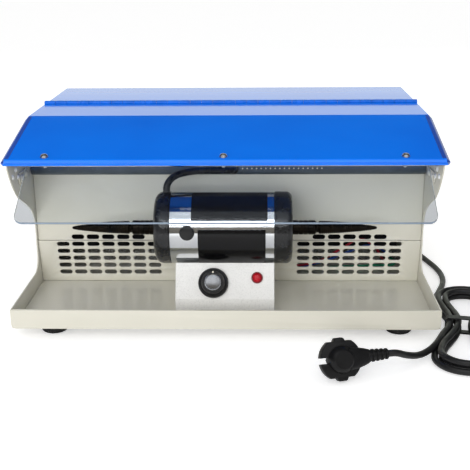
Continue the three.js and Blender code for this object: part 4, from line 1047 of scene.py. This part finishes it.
def shield_line():
    """The middle of the shield's section in Y and Z, from its flange to its foot."""
    depth = (HOOD_SKIN + GAP + SHIELD_SHEET / 2) / math.cos(SLANT)
    return [(49, slope_z(49) - depth), (29.6, slope_z(29.6) - depth), (28.9, 172.7), (-37, 134)]


def shield_corner(steps):
    """Points round a lower corner, each given by its distance from the side and from the foot."""
    angles = [math.radians(90 * k / steps) for k in range(steps + 1)]
    return [(SHIELD_CORNER * (1 - math.cos(a)), SHIELD_CORNER * (1 - math.sin(a))) for a in angles]


def make_shield():
    line = softened(shield_line(), 2.4, 4)
    foot = line.pop()
    down = (foot - line[-1]).normalized()
    sections = [(point, 0) for point in line]
    sections += [(foot - down * back_off, inset) for inset, back_off in shield_corner(10)]
    rings = []
    for i, (point, inset) in enumerate(sections):
        along = sections[min(i + 1, len(sections) - 1)][0] - sections[max(i - 1, 0)][0]
        across = Vector((-along.y, along.x)).normalized() * SHIELD_SHEET / 2
        left = SHIELD_LEFT + inset
        right = SHIELD_RIGHT - inset
        corners = ((left, 1), (right, 1), (right, -1), (left, -1))
        rings.append([(x, *(point + across * way)) for x, way in corners])
    dress(bevelled(meshed("shield_sheet", lofted(rings)), 0.35, 2, 50), "shield")
    make_shield_highlight_strip(foot, down)
    for name, x in BOLTS.items():
        make_bolt(f"shield_bolt_{name}", x)


def make_shield_highlight_strip(foot, down):
    """A strip along the foot and round its corners in a painted highlight: light blue-grey where the polished
    edge of the sheet gathers light.
    """
    half_sheet = Vector((-down.y, down.x)) * (SHIELD_SHEET / 2 - SHIELD_EDGE)
    corner = [(0, SHIELD_EDGE_TOP), *shield_corner(8)]
    path = [(SHIELD_LEFT + inset, back_off) for inset, back_off in corner]
    path += [(SHIELD_RIGHT - inset, back_off) for inset, back_off in reversed(corner)]
    middle = (SHIELD_LEFT + SHIELD_RIGHT) / 2
    rings = []
    for across, back_off in path:
        ring = []
        for side, out in ((1, 0.02), (1, -SHIELD_EDGE), (-1, -SHIELD_EDGE), (-1, 0.02)):
            x = across + math.copysign(out, across - middle) * min(back_off / SHIELD_CORNER, 1)
            ring.append((x, *(foot - down * (back_off - out) + half_sheet * side)))
        rings.append(ring)
    extra(meshed("shield_edge", lofted(rings)), "shield", "clear_acrylic", "acrylic_painted_highlight")


def make_bolt(name, x):
    """Pan head with a round recess, a washer, and a nut and the screw's end below."""
    head = turned([
        (0, 1.6), (0.8, 1.7), (1.3, 2.75), (2.1, 2.7), (3, 2.3), (3.5, 1.6), (3.6, 1), (3.6, 0.35), (0, 0.35),
    ], 32)
    washer = turned([(0, 0.3), (3.9, 0.3), (4, 0.4), (3.9, 0.55), (0, 0.55)], 32)
    under = -(HOOD_SKIN + GAP + SHIELD_SHEET + GAP)
    nut = turned([
        (1.8, under - 3), (3.1, under - 3), (3.5, under - 2.6), (3.5, under), (1.8, under), (1.8, under - 3),
    ], 6)
    tail = turned([(0, under - 8), (1.5, under - 8), (2, under - 7.4), (2, 0.4), (0, 0.4)], 20)
    place = shift(x, BOLT_Y, slope_z(BOLT_Y)) @ Matrix.Rotation(SLANT, 4, "X")
    dress(meshed(f"{name}_finish", joined(head, washer, nut, tail), place), name)


# Motor
BARREL_LEFT = 54.6
BARREL_RIGHT = 53
BARREL_WALL = 3
CAP_WALL = 5.8
COLLAR = 26
COLLAR_RADIUS = 7.2
COLLAR_GROOVES = 3
SPINDLE_REACH = 161.1
THREAD_PITCH = 2.2
THREAD_DEPTH = 0.38
BRUSH_X = -36.2


def motor_place(x=0, flip=False):
    """A place on the motor's axis, with Z along it to the right, or to the left when flipped."""
    return shift(MOTOR_X + x, MOTOR_Y, MOTOR_Z) @ spin(-90 if flip else 90, "Y")


def make_barrel():
    radius = MOTOR_RADIUS
    bore = radius - BARREL_WALL
    form = turned([
        (bore, -BARREL_LEFT), (radius - 0.5, -BARREL_LEFT), (radius, -BARREL_LEFT + 0.5),
        (radius, BARREL_RIGHT - 0.5), (radius - 0.5, BARREL_RIGHT), (bore, BARREL_RIGHT),
        (bore, -BARREL_LEFT),
    ], 128)
    dress(meshed("barrel_finish", form, motor_place()), "motor_barrel")


def make_cap(side, barrel_end, rounding, flip):
    radius = MOTOR_RADIUS
    bore = radius - CAP_WALL
    length = MOTOR_HALF - barrel_end
    profile = [
        (bore, -2.5), (radius - 3.4, -2.5), (radius - 3.4, 0.35), (radius - 0.4, 0.35), (radius, 0.8),
        *arc(radius - rounding, length - rounding, rounding, 0, 90, 10),
        (24, length), (23.2, length - 0.8), (16, length - 0.8), (15.2, length), (8.2, length),
        (7.6, length - 0.6), (7.6, length - 4), (14, length - 4), (20, length - 10), (bore, 4), (bore, -2.5),
    ]
    place = motor_place(-barrel_end if flip else barrel_end, flip)
    dress(meshed(f"cap_{side}_finish", turned(profile, 128), place), f"motor_cap_{side}")


def make_spindle(side, flip):
    """Grooved collar, a neck, and a taper with a fine thread, drawn as rings."""
    start = MOTOR_HALF + GAP
    end = MOTOR_HALF + COLLAR
    outer = COLLAR_RADIUS
    profile = [(4.3, start), (outer - 0.4, start), (outer, start + 0.4)]
    for k in range(COLLAR_GROOVES):
        base = start + 6 + 5 * k
        profile += [(outer, base), (outer - 0.4, base + 0.4), (outer - 0.4, base + 1), (outer, base + 1.4)]
    profile += [(outer, end - 2), (5.6, end - 0.2), (5, end), (5, end + 1.6), (6.2, end + 2.6)]
    taper_start = end + 3.2
    turns = int((SPINDLE_REACH - 4 - taper_start) / THREAD_PITCH)
    for k in range(turns):
        base = taper_start + k * THREAD_PITCH
        share = k / turns
        outer = 6.6 - 1.7 * share - 2.5 * share * share
        profile += [
            (outer, base), (outer, base + THREAD_PITCH * 0.45),
            (outer - THREAD_DEPTH, base + THREAD_PITCH * 0.72),
        ]
    profile += [(1.9, SPINDLE_REACH - 3), (1.2, SPINDLE_REACH - 0.8), (0, SPINDLE_REACH)]
    dress(meshed(f"spindle_{side}_finish", turned(profile, 40), motor_place(0, flip), 20), f"spindle_{side}")


def shell(name, thickness, angles, span, steps):
    """A curved sheet on the barrel, with angles in degrees up from the front and a span along X."""
    inner = MOTOR_RADIUS + GAP
    outer = inner + thickness
    left, right = span
    corners = ((inner, left), (outer, left), (outer, right), (inner, right))
    rings = []
    for k in range(steps + 1):
        angle = math.radians(angles[0] + (angles[1] - angles[0]) * k / steps)
        rings.append([(x, -radius * math.cos(angle), radius * math.sin(angle)) for radius, x in corners])
    return meshed(name, lofted(rings), shift(MOTOR_X, MOTOR_Y, MOTOR_Z))


def make_brush_cap(end, angle):
    base = MOTOR_RADIUS + GAP
    cap = turned([
        (0, MOTOR_RADIUS - 9), (4.5, MOTOR_RADIUS - 9), (4.5, base), (7.2, base), (7.6, base + 0.4),
        (7.6, base + 1.9), (6.9, base + 2.9), (5.8, base + 3.5), (5.2, base + 3.6), (0, base + 3.6),
    ], 48)
    place = shift(MOTOR_X + BRUSH_X, MOTOR_Y, MOTOR_Z) @ spin(angle, "X")
    dress(meshed(f"brush_{end}_finish", cap, place), f"brush_cap_{end}")


def make_motor():
    make_barrel()
    make_cap("left", BARREL_LEFT, 9, True)
    make_cap("right", BARREL_RIGHT, 6.5, False)
    make_spindle("left", True)
    make_spindle("right", False)
    dress(bevelled(shell("label_finish", 0.6, (26.5, 85), (-32.2, 45.8), 24), 0.15, 1, 50), "name_plate")
    saddle = bevelled(shell("saddle_finish", 2.7, (-194, 14), (-25.2, 43.8), 64), 0.6, 3, 50)
    dress(saddle, "motor_saddle", material="saddle_plastic")
    make_brush_cap("front", 81)
    make_brush_cap("rear", -99)
    for name in ("rotor", "bearing_left", "bearing_right", "lead_grommet"):
        copied(name)


# Pedestal and controls. Places on its slope are given by X and by the way up from its knee.
PEDESTAL_FRONT = 33
PEDESTAL_KNEE = 31
PEDESTAL_BACK = 50
PEDESTAL_TOP = 65.8
SLOPE = math.atan2(PEDESTAL_BACK - PEDESTAL_FRONT, PEDESTAL_TOP - PEDESTAL_KNEE)
KNOB_PLACE = (-12.8, 16.7)
LAMP_PLACE = (32.2, 22.3)


def on_slope(x, rise):
    """A place on the pedestal's slope, with Z along the slope's normal."""
    y = PEDESTAL_FRONT + rise * math.sin(SLOPE)
    z = PEDESTAL_KNEE + rise * math.cos(SLOPE)
    return shift(x, y, z) @ Matrix.Rotation(math.pi / 2 - SLOPE, 4, "X")


def make_knob():
    """Knob with a skirt and a waist on its shaft, the mark on its face, and its metal cap."""
    place = on_slope(*KNOB_PLACE)
    knob = turned([
        (0, 1.8), (15.1, 1.8), (15.5, 2.2), (15.5, 3.2), (15, 4), (13, 4.6), (12.2, 5.4), (11.8, 8),
        (11.5, 11.2), (11.1, 11.8), (10.4, 12), (9.2, 12), (9.1, 11.7), (0, 11.7),
    ], 96)
    shaft = turned([(0, -11.5), (3, -11.5), (3, 2), (0, 2)], 24)
    dress(meshed("knob_finish", joined(knob, shaft), place), "speed_knob")
    extra(meshed("knob_mark", block(-0.7, 0.7, 9.4, 11.3, 11.8, 12.15), place), "speed_knob", "led_board")
    cap = turned([
        (0, 12.3), (8.3, 12.3), (8.75, 12.7), (8.75, 13.1), (8.2, 13.5), (7.6, 13.4), (7.2, 13), (6.8, 13.1),
        (5, 13.5), (2.5, 13.8), (0, 13.9),
    ], 64)
    dress(meshed("knob_cap_finish", cap, place), "knob_cap")


def make_lamp():
    """Pilot lamp and the collar round its lens."""
    place = on_slope(*LAMP_PLACE)
    lamp = turned([
        (0, -16.7), (4, -16.7), (4, 0.3), (5.3, 0.3), (5.6, 0.6), (5.6, 1.3), (5.2, 1.7), (4.6, 1.7),
        (4.3, 1.4), (3.9, 2.3), (3, 3), (1.8, 3.4), (0, 3.5),
    ], 48)
    dress(meshed("lamp_finish", lamp, place), "pilot_lamp")
    collar = turned([
        (4.5, 0.35), (5.6, 0.35), (5.9, 0.6), (5.9, 1.5), (5.5, 1.95), (4.7, 1.95), (4.5, 1.7), (4.5, 0.35),
    ], 48)
    extra(meshed("lamp_collar", collar, place), "pilot_lamp", "red_lens", "lamp_collar")


def make_controls():
    copied("control_pedestal", 0.8, 3)
    make_knob()
    copied("speed_potentiometer", 0.2)
    make_lamp()
    copied("speed_control_board", 0.15)


# Light bar and rivets
BAR_HALF = 212.9
BAR_FRONT = 115
BAR_BACK = 124.7
BAR_BOTTOM = 141
BAR_TOP = 160
BAR_SHEET = 1.2
BAR_ROUND = 3
LED_RAIL = 1.1
LED_RAIL_HALF = 1.3
LED_FIRST = 16.5
LED_PITCH = 5
LEDS = 18
LED_Z = 148.7


def make_light_bar():
    """A channel with a rounded lower edge across the inner panel, and a thin strip of lamps on it."""
    outer = softened([
        (BAR_BACK, BAR_TOP), (BAR_FRONT, BAR_TOP), (BAR_FRONT, BAR_BOTTOM + BAR_ROUND),
        (BAR_FRONT + BAR_ROUND, BAR_BOTTOM), (BAR_BACK, BAR_BOTTOM),
    ], 1.6, 4)
    section = [*outer, *reversed(parallel(outer, BAR_SHEET))]
    dress(plate("light_bar_finish", section, [], 2 * BAR_HALF, 0.3, SIDEWAYS), "light_bar")
    face = BAR_FRONT - LED_RAIL
    start = LED_FIRST - LED_PITCH / 2
    low = LED_Z - LED_RAIL_HALF
    high = LED_Z + LED_RAIL_HALF
    rail = block(start, start + LEDS * LED_PITCH, face, BAR_FRONT - GAP, low, high)
    dress(bevelled(meshed("led_rail", rail), 0.2, 1), "led_strip", material="slate_plastic")
    lamps = []
    for k in range(LEDS):
        lamp = turned([(0, 0), (0.75, 0), (0.7, 0.35), (0, 0.4)], 12)
        lamps.append(moved(lamp, LED_FIRST + LED_PITCH * k, face, LED_Z, ALONG_Y.inverted()))
    extra(meshed("led_lamps", joined(*lamps)), "led_strip", "led_board")


def make_rivets(side, way):
    """Two domed rivets and a screw on the side panel's inner face, in front of the lid's rest."""
    face = way * (HALF_BODY - SHEET)
    inward = ALONG_X if way < 0 else ALONG_X.inverted()
    forms = []
    for y, z, radius in ((44.5, 157.6, 2.7), (64, 153.4, 2.7), (57, 163, 3.4)):
        dome = turned([
            (0, -0.4), (radius, -0.4), (radius, 0.5), (radius * 0.8, 1.3), (radius * 0.45, 1.9), (0, 2.1),
        ], 24)
        forms.append(moved(dome, face, y, z, inward))
    extra(meshed(f"rivets_{side}", joined(*forms)), f"side_panel_{side}", "zinc_steel", "rivet_steel")


# Fans, filter and the back
FAN_X = 100
FAN_Z = 108
FAN_HOLE = 55.5
GLAND_HOLE = 7.3
GUARD_RINGS = (18, 37.5, 56.9)
GUARD_WIRE = 1
GUARD_REACH = 70
GUARD_SCREWS = 74.2


def span_of(node_name):
    """A node's box in the machine's millimetres."""
    inverse = TO_FRAME.inverted()
    return [inverse @ Vector(corner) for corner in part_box(node_name)]


def make_guard(side, way):
    """Three wire rings on two crossed bars, with a screw in the eye at each bar's end."""
    forms = []
    for radius in GUARD_RINGS:
        section = circle(radius, 2 * GUARD_WIRE, GUARD_WIRE, 10)
        forms.append(turned([*section, section[0]], 72))
    reach = GUARD_REACH
    for turn in (45, 135):
        bar = turned([(0, -reach), (GUARD_WIRE, -reach), (GUARD_WIRE, reach), (0, reach)], 12)
        forms.append(moved(bar, z=GUARD_WIRE, turn=spin(turn, "Z") @ ALONG_X))
    for x, y in arc(0, 0, GUARD_SCREWS, 45, 315, 3):
        eye = turned([(0, 0.1), (4.4, 0.1), (4.5, 0.4), (4.5, 1.6), (4.2, 1.9), (0, 1.9)], 32)
        head = turned([
            (0, 1.9), (3.3, 1.9), (3.3, 2.3), (2.9, 2.75), (1.9, 2.95), (1.3, 2.97), (0.9, 2.3), (0, 2.3),
        ], 24)
        forms += [moved(eye, x, y), moved(head, x, y)]
    place = shift(way * FAN_X, span_of(f"fan_guard_{side}")[0].y, FAN_Z) @ ALONG_Y
    dress(meshed(f"fan_guard_{side}_finish", joined(*forms), place), f"fan_guard_{side}")


def make_rear_panel():
    low, high = span_of("rear_panel")
    outline = [(low.x, low.z), (high.x, low.z), (high.x, high.z), (low.x, high.z)]
    holes = [circle(way * FAN_X, FAN_Z, FAN_HOLE, 72) for _, way in SIDES]
    holes.append(circle(GLAND_X, GLAND_Z, GLAND_HOLE, 32))
    place = shift(0, (low.y + high.y) / 2, 0) @ UPRIGHT
    dress(plate("rear_panel_finish", outline, holes, high.y - low.y, 0.3, place), "rear_panel")


def make_rest_of_machine():
    make_light_bar()
    for side, way in SIDES:
        make_rivets(side, way)
        dress(copied(f"lid_rest_{side}"), f"lid_rest_{side}", material="beige_paint")
        copied(f"fan_frame_{side}", 0.35)
        copied(f"fan_impeller_{side}", 0.2)
        make_guard(side, way)
    make_rear_panel()
    copied("filter_frame")
    copied("filter_pad", 0.5)
    copied("cord_gland")


# Floor and lights, in the frame's metres
FLOOR_SIZE = 8
FLOOR_GLOW = 0.42


def make_floor():
    """A light floor that glows a little, for the camera alone."""
    form = bmesh.new()
    bmesh.ops.create_grid(form, x_segments=1, y_segments=1, size=FLOOR_SIZE)
    mesh = mesh_from("floor", form)
    look = shader("floor", "f4f4f4", 0.9)
    rays = node(look, "ShaderNodeLightPath").outputs
    seen = worked_out(look, "MULTIPLY", rays["Is Camera Ray"], FLOOR_GLOW)
    glow = node(look, "ShaderNodeEmission", Color=(1, 1, 1, 1), Strength=seen)
    lifted = node(look, "ShaderNodeAddShader")
    link(look, main_of(look).outputs[0], lifted.inputs[0])
    link(look, glow.outputs[0], lifted.inputs[1])
    link(look, lifted.outputs[0], surface_of(look))
    mesh.materials.append(look)
    object_of("floor", mesh)


# Level of the world's light on matt looks, and the studio that gloss shows: its colours at degrees
# up from the front horizon, over the top and down to the back, and its dark sides
DIFFUSE_LEVEL = 0.62
SKY = (
    (0, (0.16, 0.15, 0.13)), (18, (0.24, 0.22, 0.19)), (28, (0.98, 0.99, 1.0)), (76, (0.98, 0.99, 1.0)),
    (88, (0.08, 0.08, 0.09)), (105, (0.03, 0.03, 0.04)), (150, (0.03, 0.03, 0.04)), (157, (0.92, 1.0, 0.86)),
    (179.9, (0.96, 1.0, 0.92)),
)
SIDE_COLOR = (0.05, 0.05, 0.06, 1)
SIDE_START = 0.5
SIDE_END = 0.85


def make_world():
    world = bpy.data.worlds.new("studio")
    world.use_nodes = True
    bpy.context.scene.world = world
    back = world.node_tree.nodes["Background"]
    rays = node(world, "ShaderNodeLightPath").outputs
    level = spread(world, rays["Is Diffuse Ray"], 0, 1, 1, DIFFUSE_LEVEL)
    link(world, level, back.inputs["Strength"])
    way = node(world, "ShaderNodeTexCoord").outputs["Generated"]
    x, y, z = node(world, "ShaderNodeSeparateXYZ", Vector=way).outputs
    angle = worked_out(world, "ARCTAN2", z, worked_out(world, "MULTIPLY", y, -1))
    sky = node(world, "ShaderNodeValToRGB", Fac=spread(world, angle, 0, math.pi))
    stops = sky.color_ramp.elements
    for degrees, color in SKY:
        stops.new(degrees / 180).color = (*color, 1)
    stops.remove(stops[0])
    stops.remove(stops[-1])
    fade = spread(world, worked_out(world, "ABSOLUTE", x), SIDE_START, SIDE_END)
    studio = mixed(world, fade, sky.outputs["Color"], SIDE_COLOR)
    link(world, mixed(world, rays["Is Glossy Ray"], (1, 1, 1, 1), studio), back.inputs["Color"])


def area_light(name, place, target, size, power):
    """A light on matt looks, which gloss doesn't show."""
    data = bpy.data.lights.new(name, "AREA")
    data.shape = "RECTANGLE"
    data.size, data.size_y = size
    data.energy = power
    light = bpy.data.objects.new(name, data)
    light.location = place
    light.visible_glossy = False
    aim = Vector(target) - Vector(place)
    light.rotation_euler = aim.to_track_quat("-Z", "Y").to_euler()
    bpy.context.scene.collection.objects.link(light)


make_tray()
make_side_panels()
make_inner_panels()
make_lid()
make_painted_shade_bands()
make_hem()
make_rear_plate()
make_hinge()
make_shield()
make_motor()
make_controls()
make_rest_of_machine()
make_floor()
make_world()
area_light("front", (-0.45, -1.9, 0.5), (0, 0, 0.1), (1.2, 0.6), 13)
area_light("above", (-0.3, -1.5, 1.05), (0, -0.1, 0.05), (1.2, 0.5), 6.5)
area_light("back", (0.0, 2.2, 0.95), (0, 0, 0.2), (3.0, 1.0), 8)

bpy.context.scene.view_settings.view_transform = "Standard"
